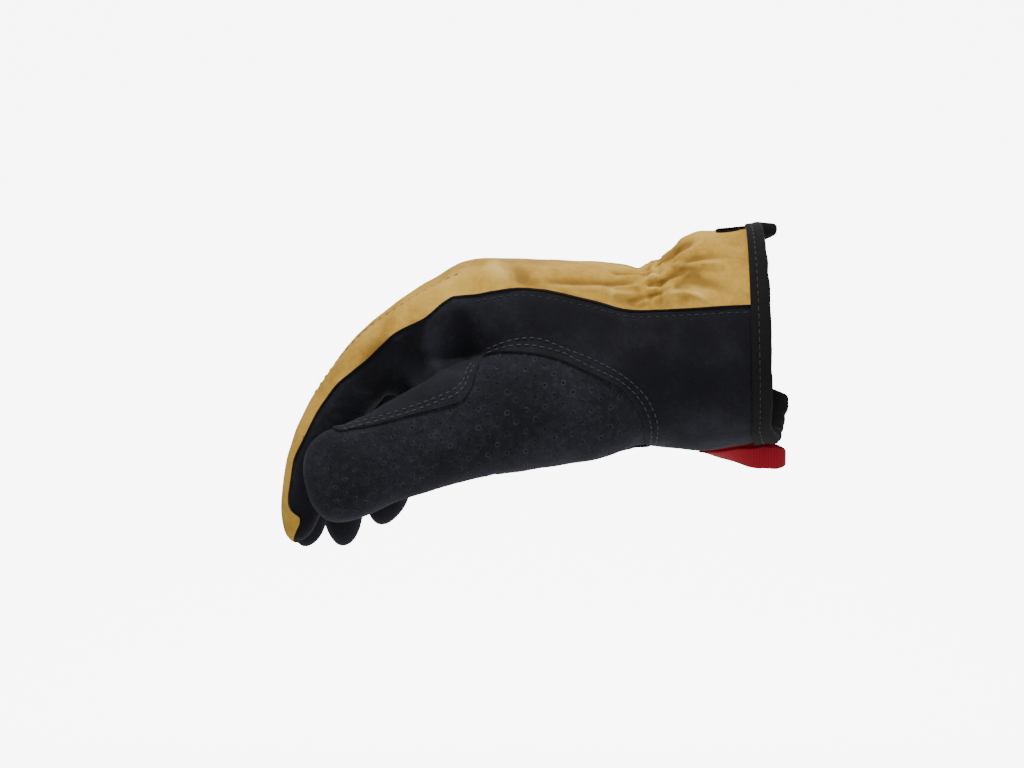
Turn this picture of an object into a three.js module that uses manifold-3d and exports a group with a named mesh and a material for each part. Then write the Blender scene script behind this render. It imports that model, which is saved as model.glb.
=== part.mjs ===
// A right-hand driver style work glove, standing as if worn: fingers to -X, cuff to +X, back of the hand up.
// The origin is the middle of the cuff's opening, and all lengths are in millimetres.
import * as THREE from "three";
import { mergeVertices } from "three/addons/utils/BufferGeometryUtils.js";
import Module from "manifold-3d";

const wasm = await Module();
wasm.setup();

// Driving dimensions
const HAND_LENGTH = 130; // cuff edge to the webs between the fingers
const CUFF_HEIGHT = 84; // the cuff's opening, back to palm
const PALM_WIDTH = 89; // across the knuckles
const FINGER_LENGTH = 120; // index finger, knuckle to tip along its middle line
const THUMB_LENGTH = 130; // heel of the hand to the thumb's tip
const THUMB_HEIGHT = 46; // ball of the thumb, seen from its side
const THUMB_WIDTH = 40; // ball of the thumb, across
const WALL = 1.9; // leather with its seam allowance
const GAP = 0.3; // between panels that meet in a seam
const TAPE_GAP = 0.5; // between the cuff's leather and its tape, where both bend
const FINGER_GAP = 0.8; // between neighbouring fingers
const PUCKER_DEPTH = 0.8; // gathers over the wrist elastic
const PUCKER_COUNT = 9; // gathers across the back of the wrist
const FOLD_DEPTH = 1.6; // soft folds in the hand
const BINDING_WIDTH = 7.6; // tape on the outside of the cuff
const BINDING_THICK = 1.1; // one layer of tape
const CUFF_FLARE = 7; // how far the cuff's edge runs out on the little finger's side
const TAB_LENGTH = 11; // small tab on the back of the cuff
const TAB_WIDTH = 20;
const TAB_THICK = 1.2;
const LOOP_LENGTH = 32; // pull loop, from its stitching to its bend
const LOOP_WIDTH = 7.2; // width of its webbing
const LOOP_THICK = 1.3;
const LOOP_OPENING = 6.4; // widest space inside the loop

// Sizes that follow from them
const FINGER_PITCH = PALM_WIDTH / 4;
const FINGER_RADIUS = (FINGER_PITCH - FINGER_GAP) / 2;
const FAR = 2 * PALM_WIDTH; // past every surface, for cutting solids

// Hand: at is a share of HAND_LENGTH, top and bottom of CUFF_HEIGHT, half of PALM_WIDTH, power is the
// section's squareness, and lean carries the little finger's side back towards the cuff, as at is measured.
const HAND = [
  { at: -0.07, top: 0.505, bottom: -0.49, half: 0.395, power: 2.1, lean: 0 },
  { at: 0.0, top: 0.5, bottom: -0.495, half: 0.395, power: 2.1, lean: 0 },
  { at: 0.065, top: 0.487, bottom: -0.502, half: 0.4, power: 2.1, lean: 0 },
  { at: 0.135, top: 0.468, bottom: -0.51, half: 0.405, power: 2.1, lean: 0 },
  { at: 0.19, top: 0.465, bottom: -0.52, half: 0.4, power: 2.1, lean: 0 },
  { at: 0.22, top: 0.45, bottom: -0.518, half: 0.395, power: 2.1, lean: 0 },
  { at: 0.247, top: 0.42, bottom: -0.514, half: 0.385, power: 2.1, lean: 0 },
  { at: 0.275, top: 0.37, bottom: -0.51, half: 0.372, power: 2.1, lean: 0 },
  { at: 0.305, top: 0.345, bottom: -0.506, half: 0.362, power: 2.1, lean: 0 },
  { at: 0.335, top: 0.322, bottom: -0.504, half: 0.358, power: 2.1, lean: 0 },
  { at: 0.365, top: 0.312, bottom: -0.5, half: 0.362, power: 2.1, lean: 0 },
  { at: 0.41, top: 0.316, bottom: -0.478, half: 0.385, power: 2.15, lean: 0 },
  { at: 0.48, top: 0.326, bottom: -0.44, half: 0.42, power: 2.2, lean: 0 },
  { at: 0.6, top: 0.334, bottom: -0.365, half: 0.462, power: 2.25, lean: 0 },
  { at: 0.715, top: 0.339, bottom: -0.28, half: 0.486, power: 2.3, lean: 0 },
  { at: 0.8, top: 0.339, bottom: -0.205, half: 0.497, power: 2.3, lean: 0.01 },
  { at: 0.86, top: 0.33, bottom: -0.16, half: 0.5, power: 2.2, lean: 0.02 },
  { at: 0.905, top: 0.305, bottom: -0.145, half: 0.5, power: 2.1, lean: 0.03 },
  { at: 0.95, top: 0.26, bottom: -0.15, half: 0.492, power: 2.05, lean: 0.04 },
  { at: 0.985, top: 0.2, bottom: -0.145, half: 0.47, power: 2.05, lean: 0.045 },
  { at: 1.0, top: 0.14, bottom: -0.11, half: 0.44, power: 2.05, lean: 0.045 },
];

// Fingers: at and level place the knuckle as shares of HAND_LENGTH and CUFF_HEIGHT, across counts finger
// pitches from the hand's middle, bones are shares of FINGER_LENGTH, and bends are pitch angles in degrees.
const FINGERS = [
  { name: "index", at: 0.833, level: 0.155, across: -1.5, bones: [0.363, 0.325, 0.32], bends: [29.5, 54, 77] },
  { name: "middle", at: 0.846, level: 0.19, across: -0.5, bones: [0.373, 0.355, 0.3], bends: [33, 58, 83] },
  { name: "ring", at: 0.831, level: 0.17, across: 0.5, bones: [0.35, 0.333, 0.292], bends: [34, 64, 89] },
  { name: "little", at: 0.792, level: 0.14, across: 1.5, bones: [0.3, 0.283, 0.262], bends: [36, 76, 77] },
];

// Finger section: at is a share of the finger's middle line, and back, front and wide are shares of
// FINGER_RADIUS, from that line to the finger's back, to its palm side and to each side.
const FINGER_SECTION = [
  { at: 0.0, back: 0.6, front: 0.6, wide: 0.6 },
  { at: 0.08, back: 0.92, front: 0.95, wide: 0.9 },
  { at: 0.17, back: 1.07, front: 1.3, wide: 1.0 },
  { at: 0.3, back: 1.04, front: 1.3, wide: 1.0 },
  { at: 0.5, back: 0.98, front: 1.15, wide: 0.98 },
  { at: 0.68, back: 0.92, front: 0.98, wide: 0.96 },
  { at: 0.82, back: 0.86, front: 0.86, wide: 0.93 },
  { at: 0.905, back: 0.76, front: 0.76, wide: 0.84 },
  { at: 0.955, back: 0.58, front: 0.58, wide: 0.66 },
  { at: 0.985, back: 0.34, front: 0.34, wide: 0.4 },
];

// Seam beside a finger's back: at is a share of the finger's middle line, offset a share of FINGER_RADIUS.
const FINGER_SEAM = [
  { at: 0.0, offset: 0.3 },
  { at: 0.3, offset: 0.24 },
  { at: 0.5, offset: 0.3 },
  { at: 0.68, offset: 0.45 },
  { at: 0.88, offset: 0.48 },
  { at: 0.935, offset: -0.15 },
  { at: 1.06, offset: -0.2 },
];

// Thumb: at is a share of THUMB_LENGTH from the wrist, across a share of PALM_WIDTH, level of CUFF_HEIGHT,
// tall of THUMB_HEIGHT and wide of THUMB_WIDTH.
const THUMB = [
  { at: 0.0, across: -0.16, level: -0.27, tall: 0.36, wide: 0.34 },
  { at: 0.14, across: -0.265, level: -0.29, tall: 0.48, wide: 0.44 },
  { at: 0.26, across: -0.33, level: -0.314, tall: 0.494, wide: 0.49 },
  { at: 0.377, across: -0.385, level: -0.342, tall: 0.494, wide: 0.49 },
  { at: 0.49, across: -0.44, level: -0.372, tall: 0.484, wide: 0.44 },
  { at: 0.607, across: -0.507, level: -0.435, tall: 0.455, wide: 0.38 },
  { at: 0.73, across: -0.575, level: -0.51, tall: 0.428, wide: 0.33 },
  { at: 0.823, across: -0.622, level: -0.584, tall: 0.408, wide: 0.31 },
  { at: 0.877, across: -0.642, level: -0.614, tall: 0.395, wide: 0.295 },
  { at: 0.925, across: -0.655, level: -0.622, tall: 0.358, wide: 0.26 },
  { at: 0.962, across: -0.66, level: -0.618, tall: 0.28, wide: 0.205 },
  { at: 0.986, across: -0.662, level: -0.608, tall: 0.175, wide: 0.13 },
];
const THUMB_START = 0.335; // share of HAND_LENGTH
const THUMB_TIP = { across: -0.662, level: -0.601 };
const THUMB_CROTCH = 0.53; // share of THUMB_LENGTH where the thumb leaves the hand

// Seam between the tan back and the black side: at is a share of HAND_LENGTH, level of CUFF_HEIGHT.
const SIDE_SEAM = [
  { at: -0.2, level: 0.131 },
  { at: 0.05, level: 0.131 },
  { at: 0.34, level: 0.109 },
  { at: 0.41, level: 0.113 },
  { at: 0.47, level: 0.135 },
  { at: 0.51, level: 0.152 },
  { at: 0.6, level: 0.18 },
  { at: 0.665, level: 0.198 },
  { at: 0.725, level: 0.204 },
  { at: 0.8, level: 0.19 },
  { at: 0.84, level: 0.178 },
  { at: 0.885, level: 0.172 },
  { at: 0.912, level: 0.165 },
  { at: 0.935, level: 0.128 },
  { at: 0.955, level: 0.092 },
  { at: 0.98, level: 0.06 },
];

// Upper edge of the perforated leather, from the heel of the hand to the thumb's tip: the same shares.
const PANEL_EDGE = [
  { at: 0.35, level: -0.7 },
  { at: 0.351, level: -0.5 },
  { at: 0.354, level: -0.44 },
  { at: 0.364, level: -0.37 },
  { at: 0.388, level: -0.305 },
  { at: 0.425, level: -0.24 },
  { at: 0.482, level: -0.192 },
  { at: 0.54, level: -0.152 },
  { at: 0.6, level: -0.113 },
  { at: 0.66, level: -0.09 },
  { at: 0.72, level: -0.079 },
  { at: 0.775, level: -0.079 },
  { at: 0.82, level: -0.1 },
  { at: 0.843, level: -0.17 },
  { at: 0.856, level: -0.235 },
  { at: 0.878, level: -0.283 },
  { at: 0.915, level: -0.31 },
  { at: 1.02, level: -0.352 },
  { at: 1.1, level: -0.385 },
  { at: 1.19, level: -0.416 },
  { at: 1.25, level: -0.41 },
  { at: 1.27, level: -0.3 },
  { at: 1.45, level: -0.3 },
];

// Soft folds on the thumb's side of the hand, each between two points: at, level as above, width in mm, and
// depth as a share of FOLD_DEPTH, below zero for a ridge.
const FOLDS = [
  { at: [0.66, 0.87], level: [0.235, 0.25], width: 4.5, depth: 0.5 },
  { at: [0.42, 0.66], level: [0.225, 0.235], width: 3.4, depth: 0.8 },
  { at: [0.44, 0.62], level: [0.275, 0.285], width: 3.6, depth: -0.35 },
  { at: [0.868, 0.9], level: [-0.12, 0.1], width: 3.2, depth: 1.0 },
  { at: [0.935, 0.965], level: [-0.16, 0.05], width: 3.2, depth: 1.0 },
  { at: [0.9, 0.93], level: [-0.1, 0.09], width: 2.8, depth: -0.6 },
];

// Small helpers
const mix = (a, b, t) => a + (b - a) * t;
const smooth = (t) => {
  const c = Math.min(Math.max(t, 0), 1);
  return c * c * (3 - 2 * c);
};

// Value of a column at a place in a table, passing smoothly through the rows.
function column(rows, key, at) {
  if (at <= rows[0].at) return rows[0][key];
  const last = rows.length - 1;
  if (at >= rows[last].at) return rows[last][key];
  let i = 0;
  while (rows[i + 1].at < at) i += 1;
  const a = rows[i];
  const b = rows[i + 1];
  const before = rows[Math.max(i - 1, 0)];
  const after = rows[Math.min(i + 2, last)];
  const span = b.at - a.at;
  const t = (at - a.at) / span;
  const slopeA = ((b[key] - before[key]) / (b.at - before.at)) * span;
  const slopeB = ((after[key] - a[key]) / (after.at - a.at)) * span;
  const t2 = t * t;
  const t3 = t2 * t;
  return (
    (2 * t3 - 3 * t2 + 1) * a[key] +
    (t3 - 2 * t2 + t) * slopeA +
    (3 * t2 - 2 * t3) * b[key] +
    (t3 - t2) * slopeB
  );
}

// Point on a unit superellipse: x is level across, y is up.
function roundPoint(angle, power) {
  const c = Math.cos(angle);
  const s = Math.sin(angle);
  const reach = (Math.abs(c) ** power + Math.abs(s) ** power) ** (-1 / power);
  return { across: c * reach, up: s * reach };
}

// A solid from triangles that share their vertices, turned to face out.
function solidFrom(points, faces) {
  let volume = 0;
  const [p, q, r] = [new THREE.Vector3(), new THREE.Vector3(), new THREE.Vector3()];
  for (const [a, b, c] of faces) {
    p.fromArray(points, 3 * a);
    q.fromArray(points, 3 * b);
    r.fromArray(points, 3 * c);
    volume += p.dot(q.cross(r));
  }
  const turned = volume < 0 ? faces.map(([a, b, c]) => [a, c, b]) : faces;
  return new wasm.Manifold(
    new wasm.Mesh({
      numProp: 3,
      vertProperties: new Float32Array(points),
      triVerts: new Uint32Array(turned.flat()),
    }),
  );
}

// A solid skinned over rings of points. Its ends close to a point each, or the last ring meets the first.
function loft(rings, startPoint, endPoint) {
  const count = rings[0].length;
  const points = rings.flat().flatMap((v) => [v.x, v.y, v.z]);
  const faces = [];
  const joined = startPoint ? rings.length - 1 : rings.length;
  for (let i = 0; i < joined; i += 1) {
    const here = i * count;
    const next = ((i + 1) % rings.length) * count;
    for (let j = 0; j < count; j += 1) {
      const k = (j + 1) % count;
      faces.push([here + j, here + k, next + k], [here + j, next + k, next + j]);
    }
  }
  if (startPoint) {
    const first = points.length / 3;
    points.push(startPoint.x, startPoint.y, startPoint.z, endPoint.x, endPoint.y, endPoint.z);
    const lastRing = (rings.length - 1) * count;
    for (let j = 0; j < count; j += 1) {
      const k = (j + 1) % count;
      faces.push([first, k, j], [first + 1, lastRing + j, lastRing + k]);
    }
  }
  return solidFrom(points, faces);
}

const middleOf = (ring) =>
  ring.reduce((sum, v) => sum.add(v), new THREE.Vector3()).divideScalar(ring.length);

const blockLoft = (rings) => loft(rings, middleOf(rings[0]), middleOf(rings[rings.length - 1]));

// An outline in the side view (at right, level up), pushed through from one side of the hand to the other.
function sideCut(outline, yFrom, yTo) {
  const shape = new THREE.Shape(outline.map(([x, z]) => new THREE.Vector2(x, z)));
  const geometry = new THREE.ExtrudeGeometry(shape, { depth: yTo - yFrom, bevelEnabled: false });
  geometry.rotateX(Math.PI / 2);
  geometry.translate(0, yTo, 0);
  return solidOf(geometry);
}

function solidOf(geometry) {
  geometry.deleteAttribute("normal");
  geometry.deleteAttribute("uv");
  const merged = mergeVertices(geometry, 1e-4);
  const faces = [];
  for (let i = 0; i < merged.index.count; i += 3)
    faces.push([merged.index.getX(i), merged.index.getX(i + 1), merged.index.getX(i + 2)]);
  return solidFrom([...merged.attributes.position.array], faces);
}

const joinAll = (solids) => solids.reduce((sum, s) => sum.add(s));

// The largest body of a solid, without the crumbs that cutting leaves.
function mainBody(solid) {
  const bodies = solid.decompose();
  return bodies.reduce((best, b) => (b.volume() > best.volume() ? b : best));
}

// Depth of the soft folds at a place on the thumb's side of the hand
function foldDepth(x, z) {
  let depth = 0;
  for (const fold of FOLDS) {
    const a = new THREE.Vector2(-fold.at[0] * HAND_LENGTH, fold.level[0] * CUFF_HEIGHT);
    const b = new THREE.Vector2(-fold.at[1] * HAND_LENGTH, fold.level[1] * CUFF_HEIGHT);
    const p = new THREE.Vector2(x, z);
    const along = b.clone().sub(a);
    const t = Math.min(Math.max(p.clone().sub(a).dot(along) / along.lengthSq(), 0), 1);
    const away = p.distanceTo(a.clone().addScaledVector(along, t));
    depth += fold.depth * FOLD_DEPTH * Math.exp(-((away / fold.width) ** 2));
  }
  return depth;
}

// The hand's section: the level of its middle, its half height and half width, and its squareness.
function handSection(at) {
  const top = column(HAND, "top", at) * CUFF_HEIGHT;
  const bottom = column(HAND, "bottom", at) * CUFF_HEIGHT;
  return {
    middle: (top + bottom) / 2,
    tall: (top - bottom) / 2,
    half: column(HAND, "half", at) * PALM_WIDTH,
    power: column(HAND, "power", at),
  };
}

// A point of the hand at a distance from the cuff, turned from the little finger's side over the back.
function handPoint(at, angle, outward, gathered) {
  const { middle, tall, half, power } = handSection(at);
  const round = roundPoint(angle, power);
  const lean = column(HAND, "lean", at) * HAND_LENGTH * Math.max(round.across, 0);
  const x = -at * HAND_LENGTH + lean;
  let out = outward;
  if (round.across < 0) out -= foldDepth(x, middle + round.up * tall) * smooth(-round.across * 3);
  if (gathered) out += pucker(at, angle);
  return new THREE.Vector3(x, round.across * (half + out), middle + round.up * (tall + out));
}

// Gathers either side of the wrist elastic, over the back of the hand only
const GATHER_AT = 0.335; // the elastic's line, a share of HAND_LENGTH
const GATHER_REACH = 0.075;
function pucker(at, angle) {
  const away = (at - GATHER_AT) / GATHER_REACH;
  const onBack = smooth((Math.sin(angle) + 0.05) * 4);
  const wave = Math.cos(2 * PUCKER_COUNT * angle);
  return -PUCKER_DEPTH * 0.5 * (1 - wave) * Math.exp(-away * away) * onBack;
}

// Angles for a section: close together over the back, where the gathers are, and wider under the palm.
function sectionAngles(backCount, palmCount) {
  const angles = [];
  for (let i = 0; i < backCount; i += 1) angles.push((i / backCount) * Math.PI);
  for (let i = 0; i < palmCount; i += 1) angles.push(Math.PI + (i / palmCount) * Math.PI);
  return angles;
}

const HAND_ANGLES = sectionAngles(2 * PUCKER_COUNT, 14);

// How far the cuff's edge stands out past the origin. It slants a little from back to palm, and on the little
// finger's side it has one long bulge under the hand and a small one over it. Angles are in radians.
const CUFF_SLANT = 0.15; // shares of CUFF_FLARE
const OVER_BULGE = 0.45;
const UNDER_FROM = -0.52;
const UNDER_TO = -1.4;
const OVER_AT = 1.15;
function cuffEdge(angle) {
  const turned = Math.atan2(Math.sin(angle), Math.cos(angle));
  const slant = CUFF_SLANT * (1 - Math.sin(angle));
  const under = smooth((UNDER_FROM - turned) / 0.16) * smooth((turned - UNDER_TO) / 0.5);
  const over = OVER_BULGE * Math.exp(-(((turned - OVER_AT) / 0.25) ** 2));
  return CUFF_FLARE * (slant + under + over);
}

const HAND_STATIONS = [
  0, 0.06, 0.13, 0.19, 0.225, 0.25, 0.272, 0.292, 0.312, 0.335, 0.358, 0.38, 0.41, 0.45, 0.5, 0.56, 0.62,
  0.68, 0.74, 0.79, 0.83, 0.862, 0.885, 0.908, 0.93, 0.95, 0.972, 0.99, 1.0,
];

function hand(inset) {
  const inner = inset > 0;
  let stations = inner ? HAND_STATIONS.filter((_, i) => i % 2 === 0) : HAND_STATIONS;
  const shorten = inset / HAND_LENGTH;
  stations = stations.map((at) => Math.min(at, 1 - shorten));
  stations = stations.filter((at, i) => i === 0 || at > stations[i - 1]);
  if (inner) stations.unshift(-0.2);
  const rings = stations.map((at) =>
    HAND_ANGLES.map((angle) => {
      if (at !== 0) return handPoint(at, angle, -inset, !inner);
      const edge = handPoint(-cuffEdge(angle) / HAND_LENGTH, angle, -inset, false);
      edge.x = cuffEdge(angle);
      return edge;
    }),
  );
  return blockLoft(rings);
}

// Fingers: the middle line starts inside the hand, behind the knuckle.
const ROOT_BEND = 0.4; // a share of the first bone's bend
const ROOT_LENGTH = 0.12; // a share of FINGER_LENGTH
function fingerLine(finger) {
  const forward = (bend) => {
    const pitch = THREE.MathUtils.degToRad(bend);
    return new THREE.Vector3(-Math.cos(pitch), 0, -Math.sin(pitch));
  };
  const y = finger.across * FINGER_PITCH;
  const knuckle = new THREE.Vector3(-finger.at * HAND_LENGTH, y, finger.level * CUFF_HEIGHT);
  const inside = forward(ROOT_BEND * finger.bends[0]).multiplyScalar(-ROOT_LENGTH * FINGER_LENGTH);
  const root = knuckle.clone().add(inside);
  const points = [root, knuckle];
  finger.bones.forEach((bone, i) => {
    const end = points[points.length - 1].clone();
    points.push(end.addScaledVector(forward(finger.bends[i]), bone * FINGER_LENGTH));
  });
  return new THREE.CatmullRomCurve3(points, false, "centripetal");
}

// Place and directions on a finger: at runs along it, and may run past the tip.
function fingerFrame(line, at) {
  const t = Math.min(Math.max(at, 0), 1);
  const place = line.getPointAt(t);
  const along = line.getTangentAt(t);
  place.addScaledVector(along, (at - t) * line.getLength());
  const up = new THREE.Vector3().crossVectors(new THREE.Vector3(0, 1, 0), along).normalize();
  return { place, up };
}

const FINGER_POWER = 2.2; // squareness of a finger's section
const LEAST = 0.12; // least half size of a hollow's section, a share of FINGER_RADIUS
function fingerSolid(finger, inset) {
  const line = fingerLine(finger);
  const sides = inset > 0 ? 10 : 14;
  const shorten = inset / line.getLength();
  const rings = FINGER_SECTION.map((row) => {
    const { place, up } = fingerFrame(line, row.at * (1 - shorten));
    const within = (share) => Math.max(share * FINGER_RADIUS - inset, LEAST * FINGER_RADIUS);
    return Array.from({ length: sides }, (_, j) => {
      const round = roundPoint(((j + 0.5) / sides) * 2 * Math.PI, FINGER_POWER);
      return place
        .clone()
        .addScaledVector(up, round.up * within(round.up > 0 ? row.back : row.front))
        .add(new THREE.Vector3(0, round.across * within(row.wide), 0));
    });
  });
  return loft(rings, fingerFrame(line, 0).place, fingerFrame(line, 1 - shorten).place);
}

// A bar along a finger with a four-cornered section: from and to run across, low and high off the middle line.
function fingerBar(finger, places, from, to, low, high) {
  const line = fingerLine(finger);
  const rings = places.map((at) => {
    const { place, up } = fingerFrame(line, at);
    const corner = (across, rise) =>
      place.clone().addScaledVector(up, rise).add(new THREE.Vector3(0, across, 0));
    return [corner(from, low(at)), corner(to, low(at)), corner(to, high(at)), corner(from, high(at))];
  });
  return blockLoft(rings);
}

// Thumb: sections square to the hand's length.
function thumbPlace(at, key) {
  const scale = key === "across" ? PALM_WIDTH : CUFF_HEIGHT;
  return column([...THUMB, { at: 1, ...THUMB_TIP, tall: 0, wide: 0 }], key, at) * scale;
}

const thumbX = (at) => -THUMB_START * HAND_LENGTH - at * THUMB_LENGTH;

const THUMB_POWER = 2.3; // squareness of its section
const THUMB_LEAST = 0.04; // least half size of the hollow's section, a share of its height or width
function thumbRing(at, inset, sides) {
  const tall = Math.max(column(THUMB, "tall", at) * THUMB_HEIGHT - inset, THUMB_LEAST * THUMB_HEIGHT);
  const wide = Math.max(column(THUMB, "wide", at) * THUMB_WIDTH - inset, THUMB_LEAST * THUMB_WIDTH);
  return Array.from({ length: sides }, (_, j) => {
    const round = roundPoint(((j + 0.5) / sides) * 2 * Math.PI, THUMB_POWER);
    return new THREE.Vector3(
      thumbX(at) + inset * at,
      thumbPlace(at, "across") + round.across * wide,
      thumbPlace(at, "level") + round.up * tall,
    );
  });
}

function thumbSolid(inset, fromAt) {
  const sides = inset > 0 ? 14 : 18;
  const places = THUMB.map((row) => row.at).filter((at) => at > fromAt);
  places.unshift(fromAt);
  const rings = places.map((at) => thumbRing(at, inset, sides));
  const tip = new THREE.Vector3(thumbX(1) + inset, thumbPlace(1, "across"), thumbPlace(1, "level"));
  return loft(rings, middleOf(rings[0]), tip);
}

// The glove's whole form, and its hollow
function form(inset) {
  return joinAll([hand(inset), thumbSolid(inset, 0), ...FINGERS.map((f) => fingerSolid(f, inset))]);
}

const shell = form(0).subtract(form(WALL));

// Cutting solids for the panels, each grown by a margin
const FINGER_CUTS = [0.13, 0.2, 0.3, 0.4, 0.5, 0.6, 0.7, 0.8, 0.88, 0.935, 1.06];

function backCut(margin) {
  const seam = SIDE_SEAM.map((row) => [-row.at * HAND_LENGTH, row.level * CUFF_HEIGHT - margin]);
  const end = seam[seam.length - 1][0];
  const above = sideCut([...seam, [end, FAR], [seam[0][0], FAR]], -FAR, FAR);
  const bars = FINGERS.map((finger, i) => {
    const middle = finger.across * FINGER_PITCH;
    const near = i === 0 ? FINGER_PITCH : FINGER_PITCH / 2;
    const far = i === FINGERS.length - 1 ? FINGER_PITCH : FINGER_PITCH / 2;
    const low = (at) => column(FINGER_SEAM, "offset", at) * FINGER_RADIUS - margin;
    return fingerBar(finger, FINGER_CUTS, -near, far, low, () => 2 * FINGER_RADIUS);
  });
  return joinAll([above, ...bars]);
}

// Strips between two fingers
const STRIP_IN = 0.5; // share of FINGER_RADIUS from the middle line to the strip's edge
const STRIP_LOW = -0.55; // share of FINGER_RADIUS, on the palm's side
const STRIP_CUTS = [0.12, 0.2, 0.3, 0.4, 0.5, 0.6, 0.7, 0.8, 0.86];
function stripCut(i, margin) {
  const edge = STRIP_IN * FINGER_RADIUS - margin;
  const border = FINGER_PITCH / 2;
  const low = () => STRIP_LOW * FINGER_RADIUS - margin;
  const high = (at) => column(FINGER_SEAM, "offset", at) * FINGER_RADIUS - (margin > 0 ? 0 : GAP);
  return fingerBar(FINGERS[i], STRIP_CUTS, edge, border, low, high).add(
    fingerBar(FINGERS[i + 1], STRIP_CUTS, -border, -edge, low, high),
  );
}

// Near half of the thumb and of the heel, under the perforated leather's upper edge
const PANEL_TURN = 0.3; // how far the panel wraps past the middle, a share of the section
function panelCut(margin) {
  const edge = PANEL_EDGE.map((row) => [-row.at * HAND_LENGTH, row.level * CUFF_HEIGHT + margin]);
  const low = -FAR;
  const outline = [...edge, [edge[edge.length - 1][0], low], [edge[0][0], low]];
  const rings = [-0.1, ...THUMB.map((row) => row.at), 1.08].map((at) => {
    const wrap = column(THUMB, "wide", at) * THUMB_WIDTH * PANEL_TURN * (1 - smooth((at - 0.3) / 0.4));
    const y = thumbPlace(at, "across") + wrap + margin;
    const x = thumbX(at);
    return [
      new THREE.Vector3(x, -FAR, -FAR),
      new THREE.Vector3(x, y, -FAR),
      new THREE.Vector3(x, y, FAR),
      new THREE.Vector3(x, -FAR, FAR),
    ];
  });
  return sideCut(outline, -FAR, FAR).intersect(blockLoft(rings));
}

const THUMB_CUT_MARGIN = 0.6;
const thumbCut = (margin) => thumbSolid(-THUMB_CUT_MARGIN - margin, THUMB_CROTCH - margin / THUMB_LENGTH);

const back = shell.intersect(backCut(-GAP / 2));
const front = shell.subtract(backCut(GAP / 2));
const panel = front.intersect(panelCut(-GAP / 2));
const rest = front.subtract(panelCut(GAP / 2));
const thumbBack = rest.intersect(thumbCut(0));
const strips = [0, 1, 2].map((i) => rest.intersect(stripCut(i, 0)));
const palm = [0, 1, 2].reduce(
  (left, i) => left.subtract(stripCut(i, GAP)),
  rest.subtract(thumbCut(GAP)),
);

// Cuff binding: tape folded over the cuff's edge.
function bindingSolid() {
  const outside = TAPE_GAP + BINDING_THICK;
  const inside = WALL + TAPE_GAP + BINDING_THICK;
  const rings = HAND_ANGLES.map((angle) => {
    const edge = cuffEdge(angle);
    const start = edge - BINDING_WIDTH;
    const point = (x, outward) => {
      const p = handPoint(-x / HAND_LENGTH, angle, outward, false);
      p.x = x;
      return p;
    };
    return [
      point(start, TAPE_GAP),
      point(start, outside),
      point(edge, outside),
      point(edge + TAPE_GAP + BINDING_THICK, outside - BINDING_THICK),
      point(edge + TAPE_GAP + BINDING_THICK, BINDING_THICK - inside),
      point(edge, -inside),
      point(start + BINDING_THICK, -inside),
      point(start + BINDING_THICK, -WALL - TAPE_GAP),
      point(edge + TAPE_GAP, -WALL - TAPE_GAP),
      point(edge + TAPE_GAP, TAPE_GAP),
    ];
  });
  return loft(rings);
}

// Tab: flat on the back of the cuff, with its free end a little lifted.
const TAB_CLEAR = 1.4 * GAP; // over the leather, whose section has flats between its corners
const TAB_LIFT = 0.3 * TAB_THICK;
function tabSolid() {
  const endX = -BINDING_WIDTH - GAP;
  const startX = endX - TAB_LENGTH;
  const across = Array.from({ length: 7 }, (_, i) => mix(-1, 1, i / 6) * (TAB_WIDTH / 2));
  const level = (x, y) => {
    const { middle, tall, half, power } = handSection(-x / HAND_LENGTH);
    return middle + tall * (1 - Math.abs(y / half) ** power) ** (1 / power);
  };
  const rings = [0, 0.35, 0.7, 1].map((t) => {
    const x = mix(startX, endX, t);
    const raise = TAB_CLEAR + TAB_LIFT * (1 - t) ** 2;
    const layer = (rise) => across.map((y) => new THREE.Vector3(x, y, level(x, y) + raise + rise));
    return [...layer(0), ...layer(TAB_THICK).reverse()];
  });
  return blockLoft(rings);
}

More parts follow.
